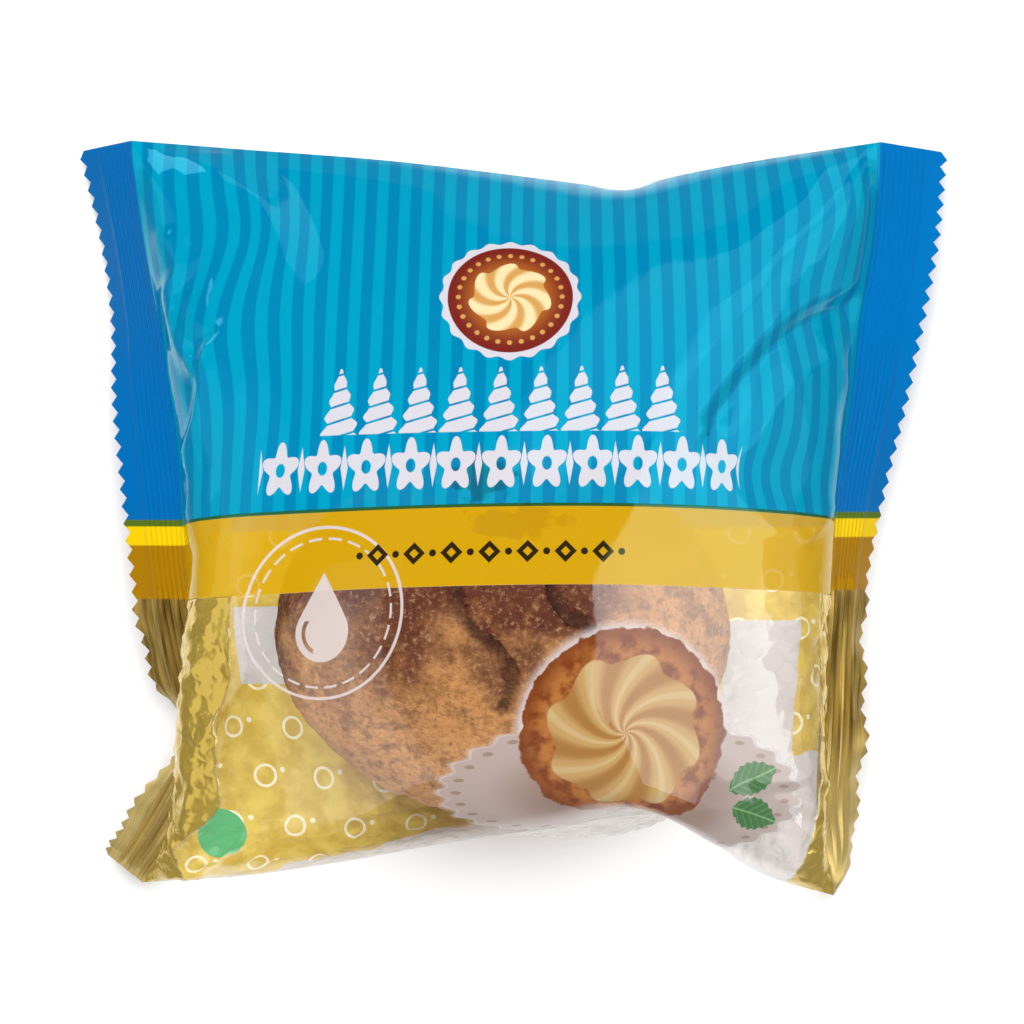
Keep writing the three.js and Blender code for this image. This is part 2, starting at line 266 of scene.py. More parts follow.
# %% Floor and room finishes
ROOM_LIGHT = 0.3
ROOM_DARK = 0.02
ROOM_ABOVE = (0.55, 0.9)
ROOM_BEHIND = (0.1, 0.5)
FLOOR_GREYS = (0.88, 0.92)
MIRRORED_FLOOR = 0.1
BRIGHT_FLOOR = (0.08, 0.13)
BRIGHT_TOP = (0.066, 0.08)

floor_look, w = new_material("pale_floor")
place = w.node("ShaderNodeTexCoord", (), "Object")
grain = w.noise(place, 6.0)
pale = w.mix(grain, *map(grey, FLOOR_GREYS))
_, forward, _ = w.split(place)
far = w.fade(w.length(place), *BRIGHT_FLOOR)
far = w.max(far, w.fade(forward, *BRIGHT_TOP))
mirrored = w.node("ShaderNodeLightPath", (), "Is Glossy Ray")
pale = w.mix(w.mul(far, mirrored), pale, grey(MIRRORED_FLOOR))
finish_material(w, w.node("ShaderNodeBsdfPrincipled", [("Base Color", pale), ("Roughness", 0.9)]))
floor.data.materials.append(floor_look)

room = bpy.data.worlds.new("studio_room")
room.use_nodes = True
room.node_tree.nodes.clear()
w = Wires(room.node_tree)
_, forward, height = w.split(w.node("ShaderNodeTexCoord", (), "Generated"))
dark = w.max(w.fade(height, *ROOM_ABOVE), w.fade(forward, *ROOM_BEHIND))
shade = w.mix(dark, grey(ROOM_LIGHT), grey(ROOM_DARK))
output = room.node_tree.nodes.new("ShaderNodeOutputWorld")
w.put(output.inputs["Surface"], w.node("ShaderNodeBackground", [("Color", shade)]))
bpy.context.scene.world = room
bpy.context.scene.view_settings.view_transform = "Standard"
print("room:", room.name)

# %% [markdown]
# ## The film's edges
# The film is held by what is round it: the line where it enters each seal, the top fold and the
# bottom fold. These lines were laid over the photograph, and they are the ones that the solid pack
# was shaped with. Each seal is a row of pairs, from the pack's bottom to its top: where the film
# enters the seal, and the seal's cut edge.

# %% Seals and folds, in millimetres
LEFT_SEAL = [
    [(-67.1, -65.4, 6.0), (-74.4, -60.1, 3.0)],
    [(-61.4, -57.8, 8.5), (-71.7, -55.4, 4.5)],
    [(-56.6, -48.8, 11.5), (-66.6, -47.6, 5.5)],
    [(-55.0, -38.7, 15.0), (-58.8, -38.7, 4.2)],
    [(-54.4, -30.8, 16.0), (-64.6, -30.2, 6.5)],
    [(-55.4, -21.8, 16.0), (-67.4, -21.8, 9.0)],
    [(-57.6, -11.0, 15.5), (-69.0, -11.0, 8.8)],
    [(-59.2, 5.2, 14.0), (-70.8, 5.2, 9.4)],
    [(-61.4, 21.4, 12.5), (-72.6, 21.4, 6.9)],
    [(-63.6, 36.0, 11.0), (-73.2, 36.0, 3.0)],
    [(-66.2, 50.0, 10.0), (-75.2, 50.0, 1.2)],
    [(-68.8, 68.2, 9.0), (-79.2, 66.9, 1.2)],
]
RIGHT_SEAL = [
    [(57.1, -67.1, 12.5), (58.4, -67.9, 0.8)],
    [(55.6, -59.6, 13.5), (61.7, -59.0, 3.2)],
    [(54.2, -50.6, 15.0), (62.1, -50.4, 6.0)],
    [(54.4, -39.8, 16.0), (63.5, -39.8, 8.2)],
    [(55.3, -23.6, 16.5), (63.2, -23.6, 7.5)],
    [(56.3, -11.0, 16.0), (63.9, -11.0, 6.7)],
    [(57.6, 5.2, 14.5), (67.1, 5.2, 7.2)],
    [(60.3, 21.4, 12.5), (71.1, 21.4, 7.3)],
    [(62.1, 35.8, 10.5), (74.0, 35.8, 9.0)],
    [(64.6, 50.0, 8.5), (76.8, 50.0, 6.5)],
    [(66.1, 68.2, 6.5), (78.6, 66.5, 3.4)],
]
TOP_FOLD = [
    (-50.0, 66.9, 7.0),
    (-21.6, 64.9, 4.5),
    (12.0, 61.0, 2.6),
    (20.8, 59.9, 2.2),
    (26.0, 61.6, 2.4),
    (41.0, 64.6, 3.6),
]
BOTTOM_FOLD = [
    (-47.3, -63.7, 10.5),
    (-30.2, -60.6, 17.0),
    (-10.6, -56.8, 20.5),
    (8.0, -53.6, 21.0),
    (27.0, -51.8, 20.0),
    (35.5, -51.8, 17.5),
    (38.0, -59.0, 14.0),
    (45.0, -63.5, 12.5),
]
print("seal stations:", len(LEFT_SEAL), len(RIGHT_SEAL))

# %% [markdown]
# A smooth line through such points could be a Bezier curve object. Plain arithmetic is easier here,
# because the film needs evenly spaced points on the line, and the cut edge of a seal has to be read
# at the same stations as its inner line. The curve is a centripetal Catmull-Rom spline: it passes
# through every point and doesn't overshoot.

# %% Smooth lines
LINE_SAMPLES = 2001


def curve_at(points, shares):
    """Points of a smooth line at shares of its stations, from 0 at the first point to 1 at the last."""
    points = np.asarray(points, float)
    last = len(points) - 1
    station = last * np.asarray(shares, float)
    first = np.minimum(np.floor(station).astype(int), last - 1)
    t = (station - first)[:, None]
    ends = np.vstack([2 * points[0] - points[1], points, 2 * points[-1] - points[-2]])
    a, b, c, d = (ends[first + k] for k in range(4))
    ab, bc, cd = (np.linalg.norm(p - q, axis=1)[:, None] ** 0.5 for p, q in ((a, b), (b, c), (c, d)))
    leave = ((b - a) / ab - (c - a) / (ab + bc) + (c - b) / bc) * bc
    arrive = ((c - b) / bc - (d - b) / (bc + cd) + (d - c) / cd) * bc
    return b + leave * t + (3 * (c - b) - 2 * leave - arrive) * t**2 + (2 * (b - c) + leave + arrive) * t**3


def spaced_along(points, steps):
    """The shares of a line's stations that cut it into equal lengths."""
    shares = np.linspace(0, 1, LINE_SAMPLES)
    gaps = np.linalg.norm(np.diff(curve_at(points, shares), axis=0), axis=1)
    length = np.concatenate([[0], np.cumsum(gaps)])
    return np.interp(np.linspace(0, length[-1], steps + 1), length, shares)


def seal_rows(stations, rows):
    """One seal, row by row: its inner points, the ways out to its cut edge, and its upper normals."""
    inner = [pair[0] for pair in stations]
    outer = [pair[1] for pair in stations]
    shares = spaced_along(inner, rows)
    place = curve_at(inner, shares)
    reach = curve_at(outer, shares) - place
    along = np.vstack([place[1:], place[-1:]]) - np.vstack([place[:1], place[:-1]])
    normal = np.cross(reach, along)
    normal /= np.linalg.norm(normal, axis=1)[:, None]
    normal[normal[:, 2] < 0] *= -1
    return SimpleNamespace(place=place, reach=reach, normal=normal)


def fold_line(start, middle, end, columns):
    points = [start, *middle, end]
    return curve_at(points, spaced_along(points, columns))


print("left seal leans over, mm:", np.round(seal_rows(LEFT_SEAL, 4).reach[:, 2], 1))

# %% [markdown]
# ## The film settles
# Film hardly stretches, so a pillow of it can't be a swollen box: it puckers where there is too
# much of it. Blender's Cloth could find that shape, but it would also let the outline wander, and
# the outline has to stay on the solid. So the film is settled here by the same steps as Cloth
# takes. Two sheets of points, front and back, are held at the seals and the top fold. Each round, a
# little air pushes them apart, ties between neighbours pull every distance back to its flat length,
# and the sheets are kept off the puff, the floor and each other.

# %% The flat film and the two sheets before they settle
FILM_WIDTH = 138
FILM_HEIGHT = 139
FILM_COLUMNS = 40
FILM_ROWS = 45
SEAL_THICKNESS = 0.7
CORNER_ROWS = 0.02
FRONT_BULGE = 30
BACK_BULGE = -14
SHIVER = 0.25


def corner_taper(rows):
    """1 along a seal, falling to 0 at its two ends, where the sheets meet."""
    share = np.linspace(0, 1, rows + 1)
    return np.clip(np.minimum(share, 1 - share) / CORNER_ROWS, 0, 1)[:, None]


def hold_edges(film):
    """Puts the held points of both sheets on the seals and the top fold."""
    half = SEAL_THICKNESS / 2 * corner_taper(film.rows)
    for sheet, side in zip(film.sheets, (1, -1)):
        sheet[:, 0] = film.left.place + side * half * film.left.normal
        sheet[:, -1] = film.right.place + side * half * film.right.normal
        sheet[-1, 1:-1] = film.top[1:-1]


def new_film(columns, rows):
    """The edges that hold a film of this many cells, and which of its points are held."""
    left, right = seal_rows(LEFT_SEAL, rows), seal_rows(RIGHT_SEAL, rows)
    top = fold_line(left.place[-1], TOP_FOLD, right.place[-1], columns)
    bottom = fold_line(left.place[0], BOTTOM_FOLD, right.place[0], columns)
    held = np.zeros((rows + 1, columns + 1), bool)
    held[:, 0] = held[:, -1] = held[-1] = True
    return SimpleNamespace(
        columns=columns, rows=rows, left=left, right=right, top=top, bottom=bottom, held=held
    )


def start_sheets(film):
    """Two bulged sheets between the edges, with a slight unevenness that lets puckers begin."""
    s = np.linspace(0, 1, film.columns + 1)[None, :, None]
    t = np.linspace(0, 1, film.rows + 1)[:, None, None]
    across = film.left.place[:, None] * (1 - s) + film.right.place[:, None] * s
    upward = film.bottom[None] * (1 - t) + film.top[None] * t
    near_fold = np.abs(2 * t - 1) ** 4
    flat = across * (1 - near_fold) + upward * near_fold
    bulge = (np.sin(np.pi * s) * np.sin(np.pi * t).clip(0) ** 0.7)[..., 0]
    wave = np.sin(np.arange(bulge.size).reshape(bulge.shape) * 127.1 + 311.7) * 43758.5453
    nudge = SHIVER * (2 * (wave - np.floor(wave)) - 1)
    film.sheets = np.stack([flat, flat])
    film.sheets[0, ..., 2] += FRONT_BULGE * bulge + nudge
    film.sheets[1, ..., 2] += BACK_BULGE * bulge + nudge
    hold_edges(film)


film = new_film(FILM_COLUMNS, FILM_ROWS)
start_sheets(film)
print("film points to begin with:", film.sheets[..., 0].size)

# %% [markdown]
# A tie joins two points of a sheet and knows how far apart they lie in flat film. Ties along the
# cells resist stretch, diagonal ones resist shear, and ties over two cells resist creasing. They
# are sorted into groups that share no point, so that numpy can pull a whole group at once. The
# lower rows are cut a little narrower, because there the tube is gathered under the puff.

# %% Ties between the film's points
TUCK = 0.04
TUCK_ROWS = 0.3
TIE_KINDS = [(1, 0, 1.0), (0, 1, 1.0), (1, 1, 0.45), (1, -1, 0.45), (2, 0, 0.1), (0, 2, 0.1)]


def film_ties(film):
    """Groups of ties: both ends, flat length, pull, and which end is free."""
    number = np.arange(film.held.size).reshape(film.held.shape)
    row, column = np.mgrid[0:film.rows + 1, 0:film.columns + 1]
    gather = 1 - TUCK * (1 - np.clip(np.arange(film.rows + 1) / film.rows / TUCK_ROWS, 0, 1)) ** 2
    free = ~film.held.ravel()
    groups = []
    for right, up, stiffness in TIE_KINDS:
        fits = (column + right <= film.columns) & (row + up >= 0) & (row + up <= film.rows)
        turn = column // right if right else row // up
        for group in (0, 1):
            r, c = np.nonzero(fits & (turn % 2 == group))
            a, b = number[r, c], number[r + up, c + right]
            width = right * FILM_WIDTH / film.columns * (gather[r] + gather[r + up]) / 2
            length = np.hypot(width, up * FILM_HEIGHT / film.rows)
            moved = free[a] | free[b]
            a, b, length = a[moved], b[moved], length[moved]
            pull = stiffness / (1.0 * free[a] + free[b])
            groups.append((a, b, length, pull, free[a][:, None], free[b][:, None]))
    return groups


print("ties:", sum(len(group[0]) for group in film_ties(film)))

# %% [markdown]
# One round of settling is four small steps. The first pushes, the second pulls the ties, the third
# evens out the curvature as stiff film does, and the last keeps the film off what is inside and
# under it, and inside the top fold. The puff counts as a rounded form here: its crags stay just
# inside that form.

# %% One round of settling
PUFF_SIZE = np.array([85.0, 69.0, 45.0])
PUFF_CENTRE = np.array([-1.5, -19.6, 22.8])
SQUEEZE = 0.6
SMOOTHING = 0.2
FOLD_GUIDE = 0.05
FOLD_ROUNDNESS = 0.9
FOLD_STIFFNESS = 0.2
LAYER_GAP = 0.7


def inflate(film, push):
    for sheet, side in zip(film.sheets, (1, -1)):
        normal = np.cross(sheet[1:-1, 2:] - sheet[1:-1, :-2], sheet[2:, 1:-1] - sheet[:-2, 1:-1])
        sheet[1:-1, 1:-1] += side * push * normal / np.linalg.norm(normal, axis=-1, keepdims=True)


def pull_ties(film):
    points = film.sheets.reshape(2, -1, 3)
    for a, b, length, pull, free_a, free_b in film.ties:
        offset = points[:, b] - points[:, a]
        distance = np.sqrt((offset * offset).sum(-1))
        share = pull * (distance - length) / distance
        offset *= np.where(distance < length, SQUEEZE * share, share)[..., None]
        points[:, a] += offset * free_a
        points[:, b] -= offset * free_b


def hollows(points):
    """How far each inner point lies from the mean of the four round it."""
    found = np.zeros_like(points)
    around = points[:, 1:-1, 2:] + points[:, 1:-1, :-2] + points[:, 2:, 1:-1] + points[:, :-2, 1:-1]
    found[:, 1:-1, 1:-1] = around / 4 - points[:, 1:-1, 1:-1]
    return found


def join_bottom(film):
    """Joins the sheets along the round bottom fold, near its guide line."""
    front, back = film.sheets[0, 1, 1:-1], film.sheets[1, 1, 1:-1]
    offset = back - front
    distance = np.linalg.norm(offset, axis=1)[:, None]
    roundness = 2 * FILM_HEIGHT / film.rows * FOLD_ROUNDNESS
    offset *= FOLD_STIFFNESS * np.minimum(distance - roundness, 0) / distance / 2
    front += offset
    back -= offset
    joined = film.sheets[:, 0, 1:-1].mean(0)
    film.sheets[:, 0, 1:-1] = joined + FOLD_GUIDE * (film.bottom[1:-1] - joined)


def keep_apart(film):
    """Keeps the sheets below the top fold, and off the puff, the floor and each other."""
    free = ~film.held
    edge = np.interp(film.sheets[..., 0], film.top[:, 0], film.top[:, 1])
    film.sheets[..., 1] = np.minimum(film.sheets[..., 1], np.where(free, edge, np.inf))
    out = film.sheets - PUFF_CENTRE
    depth = np.linalg.norm(out / (PUFF_SIZE / 2), axis=-1)
    inside = (depth < 1) & free
    film.sheets[inside] = PUFF_CENTRE + out[inside] / depth[inside][:, None]
    front, back = film.sheets[..., 2]
    back[free] = np.maximum(back[free], 0)
    lift = np.maximum(LAYER_GAP - (front - back), 0)
    lift[0] = 0
    front[free] += lift[free]


print("puff form, mm:", PUFF_SIZE)

# %% [markdown]
# The film is settled on a coarse grid first, where a push crosses the whole sheet in few rounds.
# Then each cell is split in four and the finer sheets settle for a shorter time, which brings out
# the small puckers. The finest grid has cells of about 0.8 mm. While trying things out, that last
# one can be left out.

# %% Settle, refine and settle again
SETTLING = [(1400, 0.02), (300, 0.006), (120, 0.002)]
AIR_SHARE = 0.8


def settle(film, rounds, push):
    film.ties = film_ties(film)
    for done in range(rounds):
        inflate(film, push * max(0, 1 - done / (rounds * AIR_SHARE)))
        pull_ties(film)
        film.sheets -= SMOOTHING * hollows(hollows(film.sheets))
        join_bottom(film)
        keep_apart(film)


def doubled(points, axis):
    """Twice as many steps along one axis, with smooth points in between."""
    points = np.moveaxis(points, axis, 0)
    ends = np.concatenate([points[:1], points, points[-1:]])
    middle = (9 * (ends[1:-2] + ends[2:-1]) - ends[:-3] - ends[3:]) / 16
    both = np.empty((2 * len(points) - 1, *points.shape[1:]))
    both[0::2], both[1::2] = points, middle
    return np.moveaxis(both, 0, axis)


def finer(film):
    fine = new_film(2 * film.columns, 2 * film.rows)
    fine.sheets = doubled(doubled(film.sheets, 1), 2)
    hold_edges(fine)
    return fine


for level, (rounds, push) in enumerate(SETTLING):
    film = finer(film) if level else film
    settle(film, rounds, push)
    print("settled", film.columns, "by", film.rows, "cells, highest point, mm:", film.sheets[..., 2].max())

# %% [markdown]
# ### Creases and crumples
# Settling gives the film its large puckers. Being packed and handled adds sharper ones, and stiff
# film keeps them. They could be sculpted with a brush. Here each crease is a line laid on the flat
# film, with a height on the line and a flat slope of its own width on either side, so that one side
# can be steep and the other gentle. A buckle shifts a patch of film sideways, which bends the
# stripes there. Beside the seals and round the puff the film is crumpled all over: there a few
# folded waves in different directions add up to small facets. All of it fades out towards the held
# edges.

# %% Creases, buckles and crumples
CREASES = [
    ([(69.0, 109.7), (57.0, 103.5), (48.0, 97.3), (42.0, 91.0), (37.0, 84.0)], -2.2, 7.5, 3.0),
    ([(-63.0, 119.7), (-60.4, 114.3), (-62.0, 110.4), (-61.2, 105.8), (-58.6, 100.4), (-55.5, 95.5)],
     0.9, 2.2, 3.5),
    ([(-55.5, 95.5), (-53.0, 95.8), (-51.8, 98.1)], 0.7, 2.2, 1.5),
    ([(-51.8, 98.1), (-54.3, 92.7), (-56.9, 85.7), (-60.4, 81.1), (-58.6, 75.7), (-59.5, 70.3)],
     1.0, 7.0, 1.5),
    ([(-55.0, 131.0), (-46.6, 125.9), (-41.0, 114.0)], 0.8, 8.0, 5.0),
    ([(-53.5, 30.1), (-49.2, 35.5), (-44.8, 40.2), (-44.0, 44.0), (-46.0, 54.0)], 0.9, 2.0, 2.0),
    ([(-64.0, 8.0), (-58.0, 14.0), (-55.0, 24.0)], 0.8, 1.8, 3.0),
    ([(-60.0, 4.0), (-52.0, 9.0), (-42.0, 12.0)], 0.6, 1.8, 2.4),
    ([(66.0, 52.0), (60.0, 46.0), (50.0, 44.0)], -0.5, 3.5, 1.5),
    ([(66.0, 20.0), (58.0, 24.0), (48.0, 22.0)], 0.6, 1.8, 3.0),
    ([(64.0, 70.0), (56.0, 64.0), (47.0, 66.0)], 0.5, 1.5, 3.0),
]
BUCKLES = [
    ((-52.0, 119.0), (11.0, 9.0), (2.4, 0.0, 0.6)),
    ((-54.0, 101.0), (9.0, 8.0), (-1.6, 0.0, 0.6)),
    ((-42.0, 88.0), (8.0, 12.0), (1.0, 0.0, 0.0)),
    ((58.0, 125.0), (8.0, 8.0), (1.2, 0.0, 0.4)),
    ((55.0, 107.0), (10.0, 10.0), (-2.0, 0.0, 0.5)),
    ((50.0, 75.0), (10.0, 6.0), (-2.2, 0.0, 0.0)),
]
EDGE_FADE = 4
CRUMPLE_WAVES = 8
CRUMPLE_TURN = 2.4
BROAD_FACETS = (9.0, 20.0)
FINE_FACETS = (2.6, 8.0)
BROAD_CRUMPLE = 0.7
FRONT_CRUMPLE = 1.8
RIGHT_CRUMPLE = 0.6
BACK_CRUMPLE = 1.5
BESIDE_SEALS = (40, 60)
ABOVE_WINDOW = (48, 60)
ROUND_PUFF = (0.85, 1.1)


def soft_step(value, start, end):
    share = np.clip((value - start) / (end - start), 0, 1)
    return share * share * (3 - 2 * share)


def nearest_on_line(points, line):
    """The distance of flat points from a line of points, and which of them lie on its left."""
    nearest = np.full(points.shape[:-1], np.inf)
    on_left = np.zeros(points.shape[:-1], bool)
    for start, end in zip(np.array(line[:-1]), np.array(line[1:])):
        way = end - start
        along = np.clip((points - start) @ way / (way @ way), 0, 1)
        off = points - start - along[..., None] * way
        distance = np.linalg.norm(off, axis=-1)
        closer = distance < nearest
        on_left[closer] = (way[0] * off[..., 1] - way[1] * off[..., 0] > 0)[closer]
        nearest = np.minimum(nearest, distance)
    return nearest, on_left


def crumples(points, lengths):
    """Facets between 0 and 1: folded waves in many directions, with lengths in a range."""
    total = np.zeros(points.shape[:-1])
    for k, length in enumerate(np.linspace(*lengths, CRUMPLE_WAVES)):
        way = np.array([math.cos(CRUMPLE_TURN * k), math.sin(CRUMPLE_TURN * k)])
        bend = np.sin(points @ way[::-1] / length * 2 + k)
        total += 1 - np.abs(np.sin(math.pi * (points @ way) / length + 0.6 * bend + 1.7 * k))
    return total / CRUMPLE_WAVES


def lift_sheet(sheet, height):
    """Moves a sheet's points along its normals, upward."""
    normal = np.cross(np.gradient(sheet, axis=1), np.gradient(sheet, axis=0))
    sheet += height[..., None] * normal / np.linalg.norm(normal, axis=-1, keepdims=True)


across = np.linspace(-FILM_WIDTH / 2, FILM_WIDTH / 2, film.columns + 1)[None]
up = np.linspace(0, FILM_HEIGHT, film.rows + 1)[:, None]
flat = np.stack(np.broadcast_arrays(across, up), -1)
from_seal = FILM_WIDTH / 2 - np.abs(flat[..., 0])
from_fold = np.minimum(flat[..., 1], FILM_HEIGHT - flat[..., 1])
loose = soft_step(np.minimum(from_seal, from_fold), 0, EDGE_FADE)
front_sheet, back_sheet = film.sheets
for middle, size, shift in BUCKLES:
    bump = np.exp(-(((flat - middle) / size) ** 2).sum(-1))
    front_sheet += (loose * bump)[..., None] * shift
relief = np.zeros(loose.shape)
for line, height, left_width, right_width in CREASES:
    distance, on_left = nearest_on_line(flat, line)
    relief += height * np.maximum(1 - distance / np.where(on_left, left_width, right_width), 0)
broad, fine = crumples(flat, BROAD_FACETS), crumples(flat, FINE_FACETS)
beside = soft_step(np.abs(flat[..., 0]), *BESIDE_SEALS)
upper = soft_step(flat[..., 1], *ABOVE_WINDOW)
lower = np.where(flat[..., 0] < 0, FRONT_CRUMPLE, RIGHT_CRUMPLE)
crumpled = beside * (upper * BROAD_CRUMPLE * broad + (1 - upper) * lower * fine)
lift_sheet(front_sheet, loose * (relief + crumpled))
from_puff = np.linalg.norm((back_sheet - PUFF_CENTRE)[..., :2] / PUFF_SIZE[:2] * 2, axis=-1)
lift_sheet(back_sheet, loose * BACK_CRUMPLE * soft_step(from_puff, *ROUND_PUFF) * fine)
print("creases:", len(CREASES), "highest facet, mm:", round(FRONT_CRUMPLE * fine.max(), 2))

# %% [markdown]
# ## Seals
# Each end of the tube is pressed between hot jaws. They leave narrow ridges along the seal, a plain
# margin outside them, and a cut edge of small teeth. Both faces of the seal are one strip of points
# that runs out along the upper face, round the cut edge and back along the lower face, so the strip
# has no open side. At the seal's two ends the faces come together. In the lower half the film is
# gilded and stiffer, and there the ridges stand high and uneven and the cut edge flutters.

# %% Points of a seal
CRIMP_SHARE = 0.66
RIDGE_COUNT = 8
RIDGE_HEIGHT = 0.22
GILT_RIDGE = 0.9
GILT_TOP = 56
FLUTTER = 0.6
RIDGE_STEPS = 4
MARGIN_STEPS = 5
TOOTH_SHARE = 0.1
TOOTH_COUNT = 45
EDGE_THICKNESS = 0.16
THIN_SHARE = 0.12
SEAL_REACH = 12
GILT_BLUR = 3


def seal_strip(seal, rows):
    """The places and film coordinates of one seal, as rows across it, upper face first."""
    crimp = np.linspace(0, CRIMP_SHARE, RIDGE_COUNT * RIDGE_STEPS + 1)
    margin = np.linspace(CRIMP_SHARE, 1, MARGIN_STEPS + 1)[1:]
    share = np.concatenate([crimp, margin])
    level = np.linspace(0, FILM_HEIGHT, rows + 1)[:, None]
    gilt = soft_step(level, GILT_TOP + GILT_BLUR, GILT_TOP - GILT_BLUR)
    ridge = RIDGE_COUNT * share / CRIMP_SHARE
    uneven = GILT_RIDGE * (0.6 + 0.4 * np.sin(1.9 * np.floor(ridge) + 0.06 * level))
    height = RIDGE_HEIGHT + gilt * (uneven - RIDGE_HEIGHT)
    wave = 0.5 - 0.5 * np.cos(2 * np.pi * ridge)
    outside = np.clip((share - CRIMP_SHARE) / (1 - CRIMP_SHARE), 0, 1)
    rise = np.where(share < CRIMP_SHARE, height * wave, gilt * FLUTTER * outside * np.sin(0.5 * level))
    half = np.interp(share, [0, THIN_SHARE, 1], [SEAL_THICKNESS, EDGE_THICKNESS, EDGE_THICKNESS]) / 2
    tooth = np.abs((TOOTH_COUNT * np.linspace(0, 1, rows + 1) + 0.5) % 1 - 0.5) * 2
    cut = 1 - TOOTH_SHARE * (1 - tooth)
    out = np.where(share > CRIMP_SHARE, CRIMP_SHARE + (share - CRIMP_SHARE) * (cut[:, None] - CRIMP_SHARE)
                   / (1 - CRIMP_SHARE), share)
    taper = corner_taper(rows)
    middle = seal.place[:, None] + out[..., None] * seal.reach[:, None]
    upper = middle + (taper * (rise + half))[..., None] * seal.normal[:, None]
    lower = middle + (taper * (rise - half))[..., None] * seal.normal[:, None]
    return np.concatenate([upper, lower[:, ::-1]], 1), np.concatenate([out, out[:, ::-1]], 1) * SEAL_REACH


left_strip, left_out = seal_strip(film.left, film.rows)
right_strip, right_out = seal_strip(film.right, film.rows)
print("points in a seal:", left_strip[..., 0].size)

# %% [markdown]
# ## The film as a mesh
# Now the settled points become Blender meshes. Each sheet starts as a flat grid primitive, and its
# points then move to where they settled, as a flat film does. The UV map keeps where each point was
# in the flat film, so the print can be laid out in millimetres on the flat and still follow every
# pucker. One unit of UV is 200 mm of film.

# %% Grids that take the settled shape
UV_SPAN = 200
points = np.concatenate([film.sheets.reshape(-1, 3), left_strip.reshape(-1, 3), right_strip.reshape(-1, 3)])
pack_middle = np.array([*(points.min(0) + points.max(0))[:2] / 2, 0])


def add_sheet(name, places, across, up):
    """A grid whose points lie at places, with the film coordinates across and up as its UV map."""
    rows, columns = places.shape[0] - 1, places.shape[1] - 1
    bpy.ops.object.select_all(action="DESELECT")
    bpy.ops.mesh.primitive_grid_add(x_subdivisions=columns, y_subdivisions=rows, size=1)
    sheet = bpy.context.object
    sheet.name = name
    sheet.data.vertices.foreach_set("co", ((places - pack_middle) * MM).ravel())
    flat = np.stack(np.broadcast_arrays(across / UV_SPAN + 0.5, up / UV_SPAN), -1).reshape(-1, 2)
    corner = np.empty(len(sheet.data.loops), int)
    sheet.data.loops.foreach_get("vertex_index", corner)
    sheet.data.uv_layers[0].uv.foreach_set("vector", flat[corner].ravel())
    return sheet


front = add_sheet("film_front", film.sheets[0], across, up)
back = add_sheet("film_back", film.sheets[1], across, up)
left = add_sheet("seal_left", left_strip, -FILM_WIDTH / 2 - left_out, up)
right = add_sheet("seal_right", right_strip, FILM_WIDTH / 2 + right_out, up)
print("sheets:", [(o.name, len(o.data.polygons)) for o in (front, back, left, right)])

# %% [markdown]
# ## Print on the film
# The print is drawn in film millimetres: across from the middle of the front, and up from the
# bottom fold. A shape is a distance to its outline, negative inside, and a soft step at zero turns
# it into ink with a crisp edge. The big fields are a striped blue, a thin green line, a yellow band
# and the clear window.

# %% Film coordinates and shapes
PRINT_EDGE = 0.14


def film_place(w):
    """Millimetres on the flat film, from the UV map."""
    uv = w.node("ShaderNodeUVMap", (), uv_map="UVMap")
    moved = w.vector("SUBTRACT", uv, (0.5, 0, 0))
    return w.vector("MULTIPLY", moved, (UV_SPAN, UV_SPAN, 0))


def ink_inside(w, distance, edge=PRINT_EDGE):
    """1 where a distance to an outline is negative."""
    return w.fade(distance, edge / 2, -edge / 2)


def band(w, value, middle, half):
    """The distance to a strip of values round a middle one."""
    return w.sub(w.abs(w.sub(value, middle)), half)


def polar(w, place):
    """The distance from the middle, and the angle."""
    x, y, _ = w.split(place)
    return w.length(place), w.math("ARCTAN2", y, x)


def wavy(w, angle, count, depth, base, turn=0.0):
    """base + depth * cos(count * angle + turn), a scalloped radius."""
    phase = w.mul_add(angle, count, turn)
    return w.mul_add(w.math("COSINE", phase), depth, base)


def repeated(w, value, pitch):
    """The distance from the nearest of the repeats, one of which lies at zero."""
    share = w.math("FRACT", w.mul_add(value, 1 / pitch, 0.5))
    return w.mul(w.sub(share, 0.5), pitch)


def film_group(name, draw, **outputs):
    """A node group that takes a place on the film. draw wires it, and gives a socket for each output."""
    tree = bpy.data.node_groups.new(name, "ShaderNodeTree")
    tree.interface.new_socket("Place", in_out="INPUT", socket_type="NodeSocketVector")
    for label, kind in outputs.items():
        tree.interface.new_socket(label, in_out="OUTPUT", socket_type="NodeSocket" + kind)
    w = Wires(tree)
    drawn = draw(w, tree.nodes.new("NodeGroupInput").outputs[0])
    end = tree.nodes.new("NodeGroupOutput")
    for socket, value in zip(end.inputs, drawn):
        w.put(socket, value)
    return tree


def motif(name, draw):
    """A node group that prints one motif: place on the film in, colour and cover out."""
    return film_group(name, draw, Colour="Color", Cover="Float")


def use_group(w, group, place):
    """Puts a group into a material. Gives its output sockets."""
    node = w.tree.nodes.new("ShaderNodeGroup")
    node.node_tree = group
    w.put(node.inputs["Place"], place)
    return node.outputs


def print_motif(w, group, film, middle, paper, ink, strength=0.95):
    """Prints a motif over what is there. Gives the new paper colour and ink."""
    colour, cover = use_group(w, group, w.vector("SUBTRACT", film, (*middle, 0)))
    return w.mix(cover, paper, colour), w.max(ink, w.mul(cover, strength))


print("print edge, mm:", PRINT_EDGE)

# %% [markdown]
# ### Motifs
# On the blue stand a round badge with a piped rosette and two rows of white ornaments: dollops of
# cream above, blossoms and lozenges below. Each is a node group of its own, drawn round its own
# middle, so the film's material only has to place it. A row of like shapes is one shape: the
# distance to the nearest repeat folds the row onto it.

